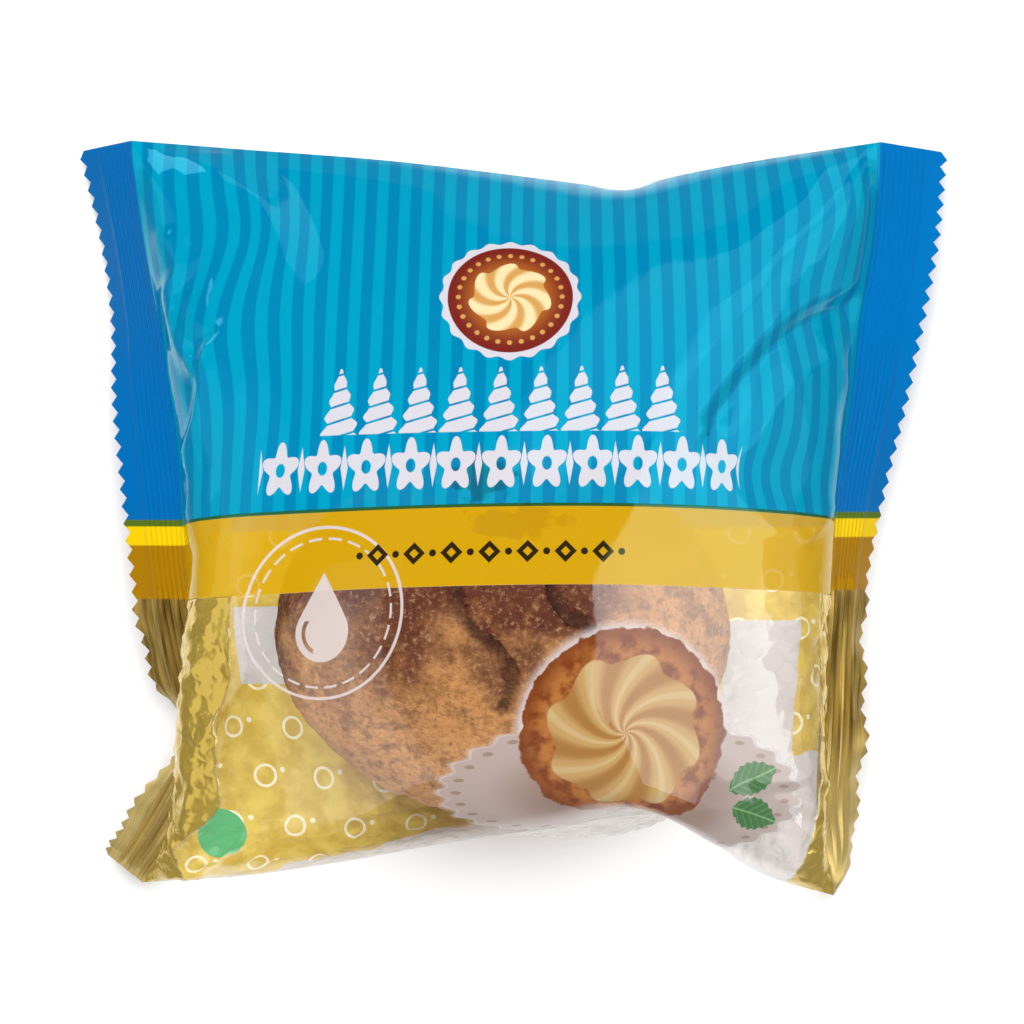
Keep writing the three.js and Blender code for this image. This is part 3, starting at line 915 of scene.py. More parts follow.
# %% The badge and the white rows
WHITE = linear(196, 193, 200)
MAROON = linear(112, 30, 18)
ORANGE = linear(188, 112, 34)
CREAM = linear(226, 204, 156)
CARAMEL = linear(196, 146, 76)


BADGE_RADIUS = 12.3
BADGE_SCALLOPS = 20
SCALLOP_DEPTH = 0.3
BADGE_GROUND = 11.1
BEAD_COUNT = 28
BEAD_RING = 9.2
BEAD_RADIUS = 0.45
ROSETTE_RADIUS = 6.9
ROSETTE_PETALS = 7
PETAL_DEPTH = 0.55
PETAL_TWIST = 1.1


def draw_badge(w, place):
    radius, angle = polar(w, place)
    rim = w.sub(radius, wavy(w, angle, BADGE_SCALLOPS, SCALLOP_DEPTH, BADGE_RADIUS))
    ground = w.mix(w.fade(radius, 3.0, 10.5), ORANGE, MAROON)
    around = w.mul(repeated(w, angle, math.tau / BEAD_COUNT), BEAD_RING)
    beads = w.length(w.join(around, w.sub(radius, BEAD_RING)))
    ground = w.mix(ink_inside(w, w.sub(beads, BEAD_RADIUS)), ground, CARAMEL)
    petals = w.math("COSINE", w.mul_add(radius, PETAL_TWIST, w.mul(angle, ROSETTE_PETALS)))
    edge = w.sub(radius, w.mul_add(petals, PETAL_DEPTH, ROSETTE_RADIUS))
    cream = w.mix(w.fade(petals, -0.9, 0.7), CARAMEL, CREAM)
    ground = w.mix(ink_inside(w, edge), ground, cream)
    colour = w.mix(ink_inside(w, w.sub(radius, BADGE_GROUND)), WHITE, ground)
    return colour, ink_inside(w, rim)


DOLLOP_COUNT = 9
DOLLOP_PITCH = 7.0
DOLLOP_FOOT = -5.8
DOLLOP_HEIGHT = 12.0
DOLLOP_HALF = 3.5
DOLLOP_TURN = 2.7
DOLLOP_SLANT = -0.28
GROOVE_HALF = 0.2


def draw_dollops(w, place):
    """Cones of piped cream: an outline that swells with each turn, cut by slanting grooves."""
    x, y, _ = w.split(place)
    column = repeated(w, x, DOLLOP_PITCH)
    height = w.sub(y, DOLLOP_FOOT)
    turns = w.math("DIVIDE", w.mul_add(column, DOLLOP_SLANT, height), DOLLOP_TURN)
    swell = w.mul_add(w.math("COSINE", w.mul(turns, math.tau)), -0.14, 0.9)
    left_over = w.sub(1.0, w.math("DIVIDE", height, DOLLOP_HEIGHT))
    taper = w.math("POWER", w.max(left_over, 0.0), 0.8)
    side = w.sub(w.abs(column), w.mul(w.mul(swell, taper), DOLLOP_HALF))
    groove = w.sub(GROOVE_HALF, w.abs(repeated(w, w.mul(turns, DOLLOP_TURN), DOLLOP_TURN)))
    ends = band(w, y, DOLLOP_FOOT + DOLLOP_HEIGHT / 2, DOLLOP_HEIGHT / 2 - 0.2)
    ends = w.max(ends, w.sub(w.abs(x), DOLLOP_COUNT / 2 * DOLLOP_PITCH))
    return WHITE, ink_inside(w, w.max(w.max(side, groove), ends))


BLOSSOM_COUNT = 11
BLOSSOM_PITCH = 7.8
BLOSSOM_STRETCH = 0.72
BLOSSOM_RADIUS = 2.75
BLOSSOM_EYE = 0.85
PETAL_SWELL = 0.75
LOZENGE_HALF = 2.7
LOZENGE_SLIMNESS = 4.2


def draw_blossoms(w, place):
    """Five-petalled blossoms between slim lozenges, all drawn tall, because the film leans back here."""
    x, y, _ = w.split(place)
    tall = w.mul(y, BLOSSOM_STRETCH)
    radius, angle = polar(w, w.join(repeated(w, x, BLOSSOM_PITCH), tall))
    petals = w.sub(radius, wavy(w, angle, 5, PETAL_SWELL, BLOSSOM_RADIUS, -math.pi / 2))
    blossom = w.max(petals, w.sub(BLOSSOM_EYE, radius))
    between = repeated(w, w.add(x, BLOSSOM_PITCH / 2), BLOSSOM_PITCH)
    slant = w.mul(w.abs(between), LOZENGE_SLIMNESS)
    lozenge = w.add(slant, w.sub(w.abs(tall), LOZENGE_HALF))
    nearest = w.min(blossom, w.mul(lozenge, 0.3))
    end = w.sub(w.abs(x), BLOSSOM_COUNT / 2 * BLOSSOM_PITCH)
    return WHITE, ink_inside(w, w.max(nearest, end))


badge = motif("badge", draw_badge)
dollops = motif("dollop_row", draw_dollops)
blossoms = motif("blossom_row", draw_blossoms)
print("motifs:", badge.name, dollops.name, blossoms.name)

# %% [markdown]
# On the band lies a dark row of lozenges and dots. A pale ring with a drop of milk in it crosses
# the lower edge of the band into the window. They are made in the same way: lozenges by the sum of
# two distances, the drop as a circle joined to the wedge that touches it.

# %% The dark row and the milk ring
DARK_INK = linear(38, 28, 12)
PALE_INK = linear(204, 192, 188)


DARK_PITCH = 6.4
DARK_LOZENGE = 1.9
DARK_HOLE = 0.8
DARK_DOT = 0.6
DARK_ROW_HALF = 23.6


def draw_dark_row(w, place):
    x, y, _ = w.split(place)
    reach = w.add(w.abs(repeated(w, x, DARK_PITCH)), w.abs(y))
    lozenge = w.max(w.sub(reach, DARK_LOZENGE), w.sub(DARK_HOLE, reach))
    between = repeated(w, w.add(x, DARK_PITCH / 2), DARK_PITCH)
    dot = w.sub(w.length(w.join(between, y)), DARK_DOT)
    end = w.sub(w.abs(x), DARK_ROW_HALF)
    return DARK_INK, ink_inside(w, w.max(w.min(lozenge, dot), end))


RING_RADIUS = 14.4
RING_HALF = 0.26
DASH_RADIUS = 12.5
DASH_HALF = 0.2
DASH_COUNT = 22
DROP_RADIUS = 5.0
DROP_TIP = 10.0
DROP_LEVEL = -3.2


def draw_milk_ring(w, place):
    x, y, _ = w.split(place)
    radius, angle = polar(w, place)
    gaps = w.sub(-0.55, w.math("COSINE", w.mul(angle, DASH_COUNT)))
    dashes = w.max(band(w, radius, DASH_RADIUS, DASH_HALF), gaps)
    rings = w.min(band(w, radius, RING_RADIUS, RING_HALF), dashes)
    low = w.sub(y, DROP_LEVEL)
    ball = w.sub(w.length(w.join(x, low)), DROP_RADIUS)
    sine = DROP_RADIUS / DROP_TIP
    cosine = math.sqrt(1 - sine * sine)
    wedge = w.mul_add(w.sub(low, DROP_TIP), sine, w.mul(w.abs(x), cosine))
    wedge = w.max(wedge, w.sub(DROP_RADIUS * sine, low))
    drop = w.min(ball, wedge)
    side = w.max(w.add(x, 1.6), w.sub(low, 2.0))
    glint = w.max(band(w, ball, -1.5, 0.35), side)
    drop = w.max(drop, w.mul(glint, -1))
    return PALE_INK, ink_inside(w, w.min(rings, drop))


dark_row = motif("dark_row", draw_dark_row)
milk_ring = motif("milk_ring", draw_milk_ring)
print("motifs:", dark_row.name, milk_ring.name)

# %% [markdown]
# The window carries a printed picture in the colours of baked dough and custard: a round biscuit
# with a piped swirl of custard, seen from above, on a pale oval doily with a scalloped edge, with
# two leaves. Rings of colour make the biscuit and the doily, a spiral of light and dark
# makes the swirl, and noise browns the crust unevenly. A soft pale glow lies round it all.

# %% The picture of a custard swirl
CUSTARD = linear(180, 145, 91)
CUSTARD_SHADE = linear(152, 108, 56)
CRUST_GOLD = linear(168, 106, 52)
CRUST_BROWN = linear(112, 50, 18)
CUSTARD_LIGHT = linear(188, 162, 114)
DOILY = linear(172, 156, 150)
DOILY_SHADE = linear(146, 124, 114)
GLOW = linear(196, 186, 184)
LEAF = linear(36, 98, 42)
LEAF_VEIN = linear(58, 122, 58)
LEAF_RIB = linear(112, 156, 96)


def draw_leaf(w, place, middle, turn, length, width):
    """The distance to a leaf round a middle point, turned by an angle, and its colour."""
    moved = w.vector("SUBTRACT", place, (*middle, 0))
    turned = w.node("ShaderNodeVectorRotate", [("Vector", moved), ("Angle", -turn)], rotation_type="Z_AXIS")
    x, y, _ = w.split(turned)
    along = w.math("DIVIDE", x, length / 2)
    bow = w.sub(1.0, w.mul(along, along))
    teeth = w.mul(w.math("SINE", w.mul(x, 4.5)), 0.18)
    side = w.abs(y)
    outline = w.sub(side, w.mul_add(bow, width / 2, teeth))
    veins = w.math("SINE", w.mul(w.sub(x, side), 4.0))
    green = w.mix(w.fade(veins, 0.2, 1.0), LEAF, LEAF_VEIN)
    green = w.mix(ink_inside(w, w.sub(side, 0.16)), green, LEAF_RIB)
    return w.max(outline, w.mul(bow, -1)), green


PLATE_MIDDLE = (1.0, -11.0)
PLATE_SIZE = (66.0, 29.0)
TART_RADIUS = 18.0
TART_RAGGED = 3.2
SWIRL_RADIUS = 13.0
SWIRL_RIDGES = 8
SWIRL_TWIST = 5.5
SCALLOP_COUNT = 30
EYELET_RING = 30.0
EYELET_RADIUS = 0.9
LEAVES = [((24.0, -7.5), 0.5), ((25.5, -14.0), -0.25)]
LEAF_SIZE = (10.0, 6.0)


def draw_doily(w, place):
    """The distance to a scalloped oval doily, and its colour."""
    flat = w.vector("SUBTRACT", place, (*PLATE_MIDDLE, 0))
    flat = w.vector("MULTIPLY", flat, (1, PLATE_SIZE[0] / PLATE_SIZE[1], 0))
    radius, angle = polar(w, flat)
    edge = w.sub(radius, wavy(w, angle, SCALLOP_COUNT, 0.8, PLATE_SIZE[0] / 2 - 0.8))
    around = w.mul(repeated(w, angle, math.tau / SCALLOP_COUNT), EYELET_RING)
    eyelets = w.length(w.join(around, w.sub(radius, EYELET_RING)))
    colour = w.mix(w.fade(radius, 14.0, 27.0), DOILY_SHADE, DOILY)
    return edge, w.mix(ink_inside(w, w.sub(eyelets, EYELET_RADIUS)), colour, DOILY_SHADE)


def draw_picture(w, place):
    radius, angle = polar(w, place)
    doily_edge, colour = draw_doily(w, place)
    mottle = w.noise(place, 0.35, 5.0)
    rough = w.mul_add(mottle, TART_RAGGED, w.sub(radius, TART_RAGGED / 2))
    baked = w.mix(w.fade(mottle, 0.36, 0.6), CRUST_BROWN, CRUST_GOLD)
    baked = w.mix(w.fade(rough, TART_RADIUS - 4.0, TART_RADIUS + 0.5), baked, CRUST_BROWN)
    tart_edge = w.sub(rough, TART_RADIUS)
    colour = w.mix(ink_inside(w, tart_edge, 0.5), colour, baked)
    spiral = w.math("LOGARITHM", w.add(radius, 1.0), math.e)
    ridge = w.math("COSINE", w.mul_add(spiral, SWIRL_TWIST, w.mul(angle, SWIRL_RIDGES)))
    swirl = w.sub(radius, w.mul_add(ridge, 0.9, SWIRL_RADIUS))
    custard = w.mix(w.fade(ridge, -1.0, 0.6), CUSTARD_SHADE, CUSTARD)
    custard = w.mix(w.fade(ridge, 0.75, 1.0), custard, CUSTARD_LIGHT)
    colour = w.mix(ink_inside(w, swirl, 0.4), colour, custard)
    nearest = w.min(doily_edge, tart_edge)
    glow = w.fade(w.min(doily_edge, w.sub(radius, TART_RADIUS)), 2.4, -0.4)
    for middle, turn in LEAVES:
        leaf, green = draw_leaf(w, place, middle, turn, *LEAF_SIZE)
        colour = w.mix(ink_inside(w, leaf), colour, green)
        nearest = w.min(nearest, leaf)
    inked = ink_inside(w, nearest, 0.3)
    return w.mix(inked, GLOW, colour), w.max(inked, w.mul(glow, glow))


picture = motif("custard_swirl", draw_picture)
print("picture nodes:", len(picture.nodes))

# %% [markdown]
# ### Effects that front and back share
# Both sheets of film have the same blue stripes and the same fine unevenness, and the back carries
# the gilding with its pale rings. Each is a node group that is built once. The gilding is deeper and
# paler in patches, and the film is crinkled: the cells of a Voronoi texture are its small facets.

# %% Stripes, gilding and unevenness
STRIPE_PITCH = 4.1
STRIPE_START = 1.7
LIGHT_BLUE = linear(0, 142, 175)
DARK_BLUE = linear(0, 118, 161)
GOLD = linear(234, 204, 90)
GOLD_SHADE = linear(214, 179, 68)
PALE_GOLD = linear(252, 244, 205)


def draw_stripes(w, place):
    phase = w.mul(w.sub(w.split(place)[0], STRIPE_START), math.tau / STRIPE_PITCH)
    return (w.mix(w.fade(w.math("COSINE", phase), -0.2, 0.2), DARK_BLUE, LIGHT_BLUE),)


GILT_PITCH = (12.0, 9.0)


def draw_gold(w, place):
    """Gold with rows of pale open rings, each row shifted by half a step."""
    x, y, _ = w.split(place)
    wide, tall = GILT_PITCH
    row = w.math("FLOOR", w.math("DIVIDE", y, tall))
    shift = w.mul_add(w.math("MODULO", row, 2.0), wide / 2, x)
    local = w.join(repeated(w, shift, wide), repeated(w, w.add(y, tall / 2), tall))
    ring = band(w, w.length(local), 1.9, 0.26)
    dot = w.sub(w.length(w.vector("SUBTRACT", local, (3.4, 1.2, 0))), 0.5)
    sheen = w.noise(place, 0.25, 4.0)
    gold = w.mix(w.fade(sheen, 0.35, 0.65), GOLD_SHADE, GOLD)
    return (w.mix(ink_inside(w, w.min(ring, dot)), gold, PALE_GOLD),)


def draw_ripple(w, place):
    low = w.noise(place, 0.09, 1.0)
    fine = w.noise(place, 0.5, 1.0)
    return (w.mul_add(fine, 0.12, low),)


def draw_crinkles(w, place):
    warp = w.vector("MULTIPLY", w.noise(place, 0.4, 1.0, output="Color"), (3.0, 3.0, 0.0))
    return (w.node("ShaderNodeTexVoronoi", [("Vector", w.vector("ADD", place, warp)), ("Scale", 0.3)]),)


stripes = film_group("blue_stripes", draw_stripes, Colour="Color")
gilding = film_group("gilding", draw_gold, Colour="Color")
ripple = film_group("film_ripple", draw_ripple, Height="Float")
crinkles = film_group("film_crinkles", draw_crinkles, Height="Float")
print("shared groups:", stripes.name, gilding.name, ripple.name, crinkles.name)

# %% [markdown]
# ### The front film
# Clear film is a thin glossy sheet: it mirrors a little of the room and lets the rest straight
# through. So its shader is a mix of a mirror and a see-through surface, by the Fresnel law. Ink is
# an opaque colour under the same gloss. The print's cover then mixes the two. It stays just below
# full, because a strong shape right behind thin ink still shows, as the puff does behind the yellow
# band. Light on its way to the puff and back from it passes film and print nearly whole. Real print
# holds more of it back, but the puff would then lie in a deeper shade than in the photograph, and
# each ray would cost more time. Beside the seals the front is gilded like the back. Where the moist
# crust touches the band and the stripes, the print looks stained.

# %% Film shaders
FILM_IOR = 1.65
GLOSS = 0.06
CLEARNESS = 0.98
LIGHT_LEAK = 0.95


def clear_film(w, bump):
    """Film with no ink on it: a faint mirror over a see-through sheet, both of whose faces reflect."""
    mirror = w.node("ShaderNodeBsdfGlossy", [("Roughness", GLOSS), ("Normal", bump)])
    face = w.node("ShaderNodeFresnel", [("IOR", FILM_IOR), ("Normal", bump)])
    faces = w.math("DIVIDE", w.mul(face, 2.0), w.add(face, 1.0))
    through = w.node("ShaderNodeBsdfTransparent", [("Color", grey(CLEARNESS))])
    return w.node("ShaderNodeMixShader", enumerate((faces, through, mirror)))


def inked_film(w, colour, bump, **extra):
    """Ink under the film's gloss."""
    inputs = [("Base Color", colour), ("Roughness", GLOSS), ("Specular IOR Level", 0.55), ("Normal", bump)]
    inputs += [(name.replace("_", " "), value) for name, value in extra.items()]
    return w.node("ShaderNodeBsdfPrincipled", inputs)


def printed_film(w, ink, inked, bump):
    """Clear film where there is no ink. Lamp light and stray light pass both nearly whole."""
    film = w.node("ShaderNodeMixShader", enumerate((ink, clear_film(w, bump), inked)))
    passing = w.node("ShaderNodeBsdfTransparent", [("Color", grey(LIGHT_LEAK))])
    for ray in ("Is Diffuse Ray", "Is Shadow Ray"):
        share = w.node("ShaderNodeLightPath", (), ray)
        film = w.node("ShaderNodeMixShader", enumerate((share, film, passing)))
    return film


def film_bump(w, place, crinkled):
    """The film's fine unevenness, with crinkles by a share."""
    uneven = use_group(w, ripple, place)[0]
    height = w.mul_add(use_group(w, crinkles, place)[0], crinkled, uneven)
    return w.node("ShaderNodeBump", [("Strength", 1.0), ("Distance", 0.1 * MM), ("Height", height)])


print("film mirrors, share:", round(((FILM_IOR - 1) / (FILM_IOR + 1)) ** 2, 3))

# %% Front film finish
YELLOW = linear(195, 150, 0)
GREEN_LINE = linear(28, 84, 40)
BLUE_GLEAM = (0.02, 0.8, 1.0, 1)
YELLOW_GLEAM = (0.55, 1.0, 0.55, 1)
FRONT_GILT = linear(204, 174, 76)
BAND_TOP = 68.5
BAND_BOTTOM = 55.0
GILT_RIGHT = 60.0
GILT_LEFT = 60.0
GILT_STEPS = [(10, 20, 9.5), (32, 42, 3.0)]
GILT_RAGGED = 2.4
FRONT_CRINKLE = 5.0
FOIL_METAL = 0.6
BAND_INK = 0.88
BLUE_INK = 0.96
GILT_INK = 0.97
LINE_HALF = 0.28
STAINS = [
    ((-3.5, 73.0), (8.0, 4.5), (0.8, 0.62, 0.55, 1)),
    ((2.5, 65.5), (11.0, 3.4), (0.86, 0.82, 0.5, 1)),
]


def stained(w, place, paper):
    """Darkens the print in ragged patches where the moist crust touches it."""
    rough = w.noise(place, 0.3, 5.0)
    for middle, size, shade in STAINS:
        local = w.vector("DIVIDE", w.vector("SUBTRACT", place, (*middle, 0)), (*size, 1))
        reach = w.mul_add(rough, 1.8, w.length(local))
        paper = w.mix(w.fade(reach, 1.75, 1.55), paper, shade, "MULTIPLY")
    return paper


front_look, w = new_material("printed_front")
place = film_place(w)
x, y, _ = w.split(place)
on_blue = ink_inside(w, w.sub(BAND_TOP, y))
on_band = ink_inside(w, w.sub(BAND_BOTTOM, y))
paper = w.mix(on_blue, YELLOW, use_group(w, stripes, place)[0])
paper = w.mix(ink_inside(w, band(w, y, BAND_TOP, LINE_HALF)), paper, GREEN_LINE)
paper = stained(w, place, paper)
left_edge = GILT_LEFT
for start, end, step in GILT_STEPS:
    left_edge = w.mul_add(w.fade(y, start, end), -step, left_edge)
inside = w.min(w.sub(GILT_RIGHT, x), w.add(x, left_edge))
ragged = w.mul_add(w.noise(place, 0.25, 4.0), GILT_RAGGED, w.sub(inside, GILT_RAGGED / 2))
gilt = ink_inside(w, ragged, 0.8)
paper = w.mix(on_band, w.mix(gilt, GLOW, FRONT_GILT), paper)
ink = w.mul(on_band, w.mul_add(on_blue, BLUE_INK - BAND_INK, BAND_INK))
ink = w.max(ink, w.mul(gilt, GILT_INK))
PRINT_PLACES = [
    (picture, (22.0, 30.0), 0.92),
    (milk_ring, (-30.6, 51.3), 0.8),
    (dark_row, (-1.9, 60.6), 0.97),
    (badge, (0.6, 106.6), 0.98),
    (dollops, (-0.8, 86.8), 0.96),
    (blossoms, (-0.4, 75.6), 0.96),
]
for group, middle, strength in PRINT_PLACES:
    paper, ink = print_motif(w, group, place, middle, paper, ink, strength)
foil = w.mul(gilt, w.sub(1.0, on_band))
bump = film_bump(w, place, w.mul(foil, FRONT_CRINKLE))
gleam = w.mix(on_band, grey(1), w.mix(on_blue, YELLOW_GLEAM, BLUE_GLEAM))
inked = inked_film(w, paper, bump, Specular_Tint=gleam, Metallic=w.mul(foil, FOIL_METAL))
finish_material(w, printed_film(w, ink, inked, bump))
front.data.materials.append(front_look)
print("front film nodes:", len(front_look.node_tree.nodes))

# %% [markdown]
# ### Back film and seals
# The back film is gilded up to the band, with two bare white panels and a small green round, which
# show through the window from inside. Along the bottom a ragged strip stays white. The seals carry
# the print of the film that they are made of: blue, a green strip, yellow, a deeper yellow where
# ink lies on both layers, and then bare gilt, which shines most like metal.

# %% Gilded back
PANEL_WHITE = linear(214, 208, 204)
STRIP_HEIGHT = 3.0
STRIP_SLOPE = 0.22
STRIP_LEFT = -46.0
STRIP_RAGGED = 5.0
BACK_CRINKLE = 7.0
BACK_METAL = 0.06
BACK_GLEAM = (0.5, 0.5, 0.4, 1)
ROUND_MIDDLE = (-55.8, 11.1)
ROUND_RADIUS = 4.6
BADGE_GREEN = linear(86, 186, 116)
WHITE_PANELS = [((47.0, 25.0), (7.0, 26.0)), ((-46.0, 47.0), (5.0, 7.5))]


def draw_back(w, place):
    x, y, _ = w.split(place)
    colour = use_group(w, gilding, place)[0]
    for middle, half in WHITE_PANELS:
        wide = band(w, x, middle[0], half[0])
        tall = band(w, y, middle[1], half[1])
        colour = w.mix(ink_inside(w, w.max(wide, tall)), colour, PANEL_WHITE)
    along = w.max(w.sub(x, STRIP_LEFT), 0.0)
    ragged = w.mul_add(w.noise(place, 0.15, 3.0), STRIP_RAGGED, STRIP_HEIGHT - STRIP_RAGGED / 2)
    strip = w.mul_add(along, STRIP_SLOPE, w.mul(ragged, w.fade(along, 0.0, 8.0)))
    colour = w.mix(ink_inside(w, w.sub(y, strip)), colour, PANEL_WHITE)
    radius = w.length(w.vector("SUBTRACT", place, (*ROUND_MIDDLE, 0)))
    colour = w.mix(ink_inside(w, w.sub(radius, ROUND_RADIUS)), colour, BADGE_GREEN)
    return w.mix(ink_inside(w, w.sub(BAND_TOP, y)), colour, use_group(w, stripes, place)[0])


back_look, w = new_material("gold_back")
place = film_place(w)
bump = film_bump(w, place, BACK_CRINKLE)
inked = inked_film(w, draw_back(w, place), bump, Metallic=BACK_METAL, Specular_Tint=BACK_GLEAM)
finish_material(w, printed_film(w, GILT_INK, inked, bump))
back.data.materials.append(back_look)
print("back film nodes:", len(back_look.node_tree.nodes))

# %% Crimped seals
SEAL_BLUE = linear(0, 94, 160)
SEAL_GREEN = linear(70, 98, 24)
SEAL_YELLOW = linear(222, 186, 4)
SEAL_AMBER = linear(154, 108, 0)
SEAL_GILT = linear(180, 152, 76)
GILT_FOLD_SHADE = linear(104, 78, 28)
PALE_GILT = linear(224, 202, 132)
SEAL_GLEAM_YELLOW = (1.0, 0.8, 0.1, 1)
SEAL_GLEAM_BLUE = (0.02, 0.6, 1.0, 1)
SEAL_METAL = 0.65
SEAL_BLUE_FROM = 70.2
SEAL_FIELDS = [
    (GILT_TOP, SEAL_AMBER),
    (65.6, SEAL_YELLOW),
    (69.0, SEAL_GREEN),
    (SEAL_BLUE_FROM, SEAL_BLUE),
]
PALE_SEAL = (34.0, 20.0)
PALE_SHARE = 0.5

seal_look, w = new_material("crimped_seal")
place = film_place(w)
_, y, _ = w.split(place)
# Darker streaks along the seal's length: painted shade of its folds.
fold_shade_streaks = w.noise(w.vector("MULTIPLY", place, (1.0, 0.05, 0)), 1.2, 4.0)
colour = w.mix(w.fade(fold_shade_streaks, 0.3, 0.7), GILT_FOLD_SHADE, SEAL_GILT)
colour = w.mix(w.mul(w.fade(y, *PALE_SEAL), PALE_SHARE), colour, PALE_GILT)
for start, shade in SEAL_FIELDS:
    colour = w.mix(w.fade(y, start - 0.15, start + 0.15), colour, shade)
strokes = w.noise(w.vector("MULTIPLY", place, (3.0, 0.1, 0)), 1.0, 3.0)
bump = w.node("ShaderNodeBump", [("Strength", 0.4), ("Distance", 0.15 * MM), ("Height", strokes)])
printed = w.fade(y, GILT_TOP - 0.1, GILT_TOP + 0.1)
on_blue = w.fade(y, SEAL_BLUE_FROM - 0.1, SEAL_BLUE_FROM + 0.1)
gleam = w.mix(on_blue, SEAL_GLEAM_YELLOW, SEAL_GLEAM_BLUE)
gleam = w.mix(printed, grey(1), gleam)
inputs = [("Base Color", colour), ("Roughness", 0.36), ("Specular Tint", gleam), ("Normal", bump)]
inputs += [("Specular IOR Level", 0.35), ("Metallic", w.mul_add(printed, -SEAL_METAL, SEAL_METAL))]
finish_material(w, w.node("ShaderNodeBsdfPrincipled", inputs))
for seal in (left, right):
    seal.data.materials.append(seal_look)
print("seal fields:", len(SEAL_FIELDS) + 1)

# %% [markdown]
# ## One closed film
# The four sheets meet point for point: along both folds, along the lines where the film enters the
# seals, and at the corners. Joined into one object and welded, they are one closed skin. Smoothing
# by angle keeps the sheets round and the folds and cut edges crisp.

# %% Join and weld the film
WELD_DISTANCE = 0.001 * MM
CRISP_ANGLE = math.radians(50)

bpy.ops.object.select_all(action="DESELECT")
for sheet in (back, left, right, front):
    sheet.select_set(True)
bpy.context.view_layer.objects.active = front
bpy.ops.object.join()
film_pack = bpy.context.object
film_pack.name = "film_pack"
bpy.ops.object.mode_set(mode="EDIT")
bpy.ops.mesh.select_all(action="SELECT")
bpy.ops.mesh.remove_doubles(threshold=WELD_DISTANCE)
bpy.ops.mesh.dissolve_degenerate(threshold=WELD_DISTANCE)
bpy.ops.mesh.normals_make_consistent(inside=False)
bpy.ops.mesh.select_all(action="DESELECT")
bpy.ops.mesh.select_non_manifold()
bpy.ops.object.mode_set(mode="OBJECT")
open_points = sum(v.select for v in film_pack.data.vertices)
bpy.ops.object.shade_smooth_by_angle(angle=CRISP_ANGLE)
print("film faces:", len(film_pack.data.polygons), "points on an open edge:", open_points)

# %% [markdown]
# ## The puff
# A choux puff swells from a smooth blob of dough and tears as it sets. It ends as a few broad lobes
# with cracks between them, under a thin crust that has wrinkled as it cooled. The puff starts as an
# icosphere, because its triangles are even all over. Lobes and cracks are vertex moves: the lobes
# are spaced at random over the ball, and the cracks run along short given lines, one of them where
# the photograph shows it. Finer wrinkles come from Displace modifiers. Every move goes inward, so
# the puff stays inside the rounded form that the film settled on.

# %% Lobes and cracks
PUFF_SHARE = 0.985
PUFF_SUBDIVISIONS = 7
LOBE_SEED = 7
LOBE_COUNT = 16
LOBE_DEPTH = 1.3
LOBE_BLEND = 14
LOBE_REACH = 0.75
CRACK_DEPTH = 1.2
CRACK_WIDTH = 0.7
TOP_CRACKS = [
    [(-13.0, 20.0), (-9.5, 14.0), (-7.7, 7.6), (-6.1, 2.6), (-3.7, -1.9), (-1.1, -7.4), (0.9, -12.9)],
    [(9.0, 12.5), (13.0, 5.0), (19.0, 1.0), (24.0, -5.0)],
]
SIDE_CRACK_LEVEL = -0.35
SIDE_CRACK_WIDTH = 0.03


def unit(directions):
    return directions / np.linalg.norm(directions, axis=-1, keepdims=True)


bpy.ops.object.select_all(action="DESELECT")
bpy.ops.mesh.primitive_ico_sphere_add(subdivisions=PUFF_SUBDIVISIONS, radius=1)
puff = bpy.context.object
puff.name = "cream_puff"
ball = np.empty(3 * len(puff.data.vertices))
puff.data.vertices.foreach_get("co", ball)
ball = unit(ball.reshape(-1, 3))
rng = np.random.default_rng(LOBE_SEED)
lobes = unit(rng.normal(size=(LOBE_COUNT, 3)))
wobble = 0.05 * np.sin(9 * ball[:, [1, 2, 0]]) + 0.02 * np.sin(31 * ball[:, [2, 0, 1]])
apart = np.linalg.norm((ball + wobble)[:, None] - lobes[None], axis=2)
dome = np.clip(-np.log(np.exp(-LOBE_BLEND * apart).sum(1)) / LOBE_BLEND / LOBE_REACH, 0, 1) ** 2
seen = (ball + wobble)[:, :2] * PUFF_SIZE[:2] / 2
from_crack = np.min([nearest_on_line(seen, line)[0] for line in TOP_CRACKS], axis=0)
top_crack = np.exp(-((from_crack / CRACK_WIDTH) ** 2)) * (ball[:, 2] > 0)
turn = np.arctan2(ball[:, 1], ball[:, 0])
level = SIDE_CRACK_LEVEL + 0.07 * np.sin(4 * turn + 1) + 0.03 * np.sin(11 * turn)
torn = np.clip(0.6 + np.sin(3 * turn + 2), 0, 1)
side_crack = np.exp(-(((ball[:, 2] - level) / SIDE_CRACK_WIDTH) ** 2)) * torn
crack = np.maximum(top_crack, side_crack)
depth = LOBE_DEPTH * dome + CRACK_DEPTH * crack
radius = np.linalg.norm(ball * PUFF_SIZE / 2, axis=1)
places = ball * (PUFF_SIZE / 2) * (PUFF_SHARE - depth / radius)[:, None] + PUFF_CENTRE - pack_middle
puff.data.vertices.foreach_set("co", (places * MM).ravel())
puff.data.update()
print("puff faces:", len(puff.data.polygons))

# %% Wrinkles
WRINKLES = [("swells", 9.0, 1.2), ("wrinkles", 2.6, 0.8), ("crumbs", 1.2, 0.4)]

for name, size, strength in WRINKLES:
    texture = bpy.data.textures.new(name, "CLOUDS")
    texture.noise_scale = size * MM
    texture.noise_depth = 2
    wrinkles = puff.modifiers.new(name, "DISPLACE")
    wrinkles.texture = texture
    wrinkles.texture_coords = "LOCAL"
    wrinkles.mid_level = 1.0
    wrinkles.strength = strength * MM
    bpy.context.view_layer.objects.active = puff
    bpy.ops.object.modifier_apply(modifier=name)
bpy.ops.object.shade_smooth()
print("puff, mm:", np.round(np.array(puff.dimensions) / MM, 1))
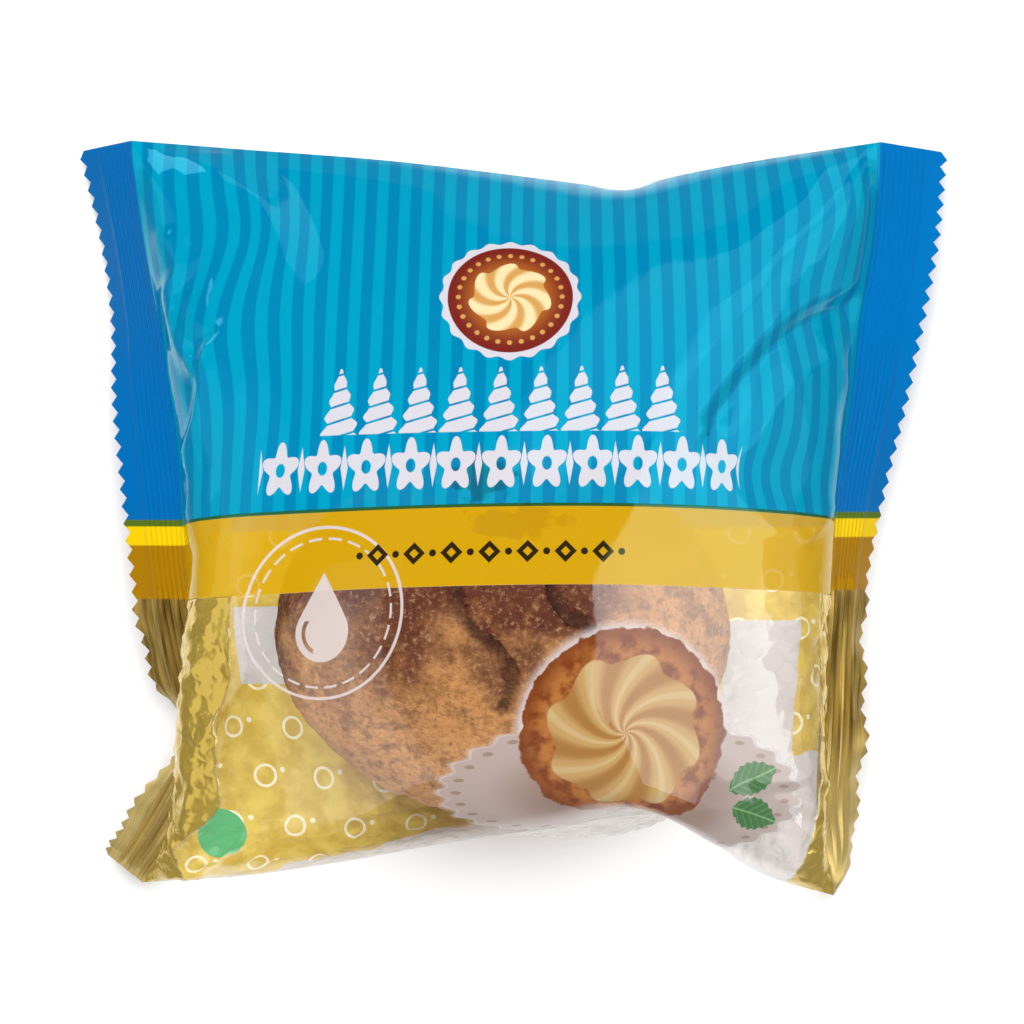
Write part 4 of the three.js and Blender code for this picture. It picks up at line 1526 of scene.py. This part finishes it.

# %% [markdown]
# ### Crust
# Baked choux is matt and leathery. Its crust is tan, more so on the right side, and darker and
# redder brown towards the pack's top, which is partly painted shade. It is blotched with rust and
# dark brown and crossed by fine pale wrinkles. These colours follow the same noises as the bump,
# darker where the crust lies low and paler on its ridges, so they are partly its own tone and
# partly painted shade and highlight. The cracks are darkest where they are deepest, a painted
# shade: their depth is known from the shape, so it is stored on the points as an attribute, and
# the material reads it. Noises of four sizes make the rest.

# %% Crust finish
CRUST_TAN = linear(210, 148, 84)
CRUST_CHESTNUT = linear(98, 44, 22)
CRUST_GOLDEN = linear(156, 100, 48)
CRUST_RUST = linear(94, 44, 22)
CRUST_DARK_AND_SHADE = linear(70, 36, 20)
CRUST_PALE_AND_HIGHLIGHT = linear(198, 156, 112)
CRACK_PAINTED_SHADE = linear(52, 25, 15)
SHADED_TOP = (-0.008, 0.016)
SHADED_TOP_RAGGED = 0.06
TAN_SIDE = (0.012, 0.028)
TAN_SHIFT = -0.025

hollow = puff.data.attributes.new("hollow", "FLOAT", "POINT")
hollow.data.foreach_set("value", np.clip(crack, 0, 1).astype(np.float32))
crust_look, w = new_material("baked_crust")
place = w.node("ShaderNodeTexCoord", (), "Object")
patches = w.noise(place, 80.0, 5.0)
mottle = w.noise(place, 220.0, 6.0, 0.72)
grain = w.noise(w.vector("ADD", place, (1, 2, 3)), 1100.0, 4.0, 0.7)
fold = w.noise(place, 700.0, 5.0, 0.65, noise_type="RIDGED_MULTIFRACTAL")
x, y, _ = w.split(place)
# Partly painted shade: the crust darkens and reddens towards the pack's top.
browner_and_shaded = w.mul_add(w.fade(x, *TAN_SIDE), TAN_SHIFT, y)
browner_and_shaded = w.mul_add(patches, SHADED_TOP_RAGGED, browner_and_shaded)
colour = w.mix(w.fade(browner_and_shaded, *SHADED_TOP), CRUST_TAN, CRUST_CHESTNUT)
# Blotches darker where the bump lies low and paler on its ridges: partly tone, partly painted shade and
# highlight.
BLOTCHES_AND_RELIEF_LIGHT = [
    (mottle, 0.46, 0.62, 0.6, CRUST_RUST),
    (mottle, 0.5, 0.36, 0.5, CRUST_GOLDEN),
    (grain, 0.5, 0.34, 0.4, CRUST_DARK_AND_SHADE),
    (grain, 0.52, 0.68, 0.5, CRUST_PALE_AND_HIGHLIGHT),
    (fold, 0.7, 1.6, 0.4, CRUST_PALE_AND_HIGHLIGHT),
]
for pattern, start, end, share, shade in BLOTCHES_AND_RELIEF_LIGHT:
    colour = w.mix(w.mul(w.fade(pattern, start, end), share), colour, shade)
# Painted shade in the cracks, by their depth.
crack_shade_share = w.node("ShaderNodeAttribute", (), "Fac", attribute_name="hollow")
colour = w.mix(w.mul(crack_shade_share, 0.75), colour, CRACK_PAINTED_SHADE)
height = w.mul_add(mottle, -0.8, w.mul_add(fold, 0.35, grain))
bump = w.node("ShaderNodeBump", [("Strength", 0.9), ("Distance", 0.6 * MM), ("Height", height)])
inputs = [("Base Color", colour), ("Roughness", 0.55), ("Specular IOR Level", 0.4), ("Normal", bump)]
finish_material(w, w.node("ShaderNodeBsdfPrincipled", inputs))
puff.data.materials.append(crust_look)
print("crust:", crust_look.name)

# %% [markdown]
# ## Hand over
# Film and puff together stand for the solid pack, and both ride on its one body. The two boxes are
# kept, to compare the finished film with the solid.

# %% Ride and replace
for piece, finish in ((film_pack, "film"), (puff, "puff")):
    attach(piece, "root")
    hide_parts("cream_puff_pack")
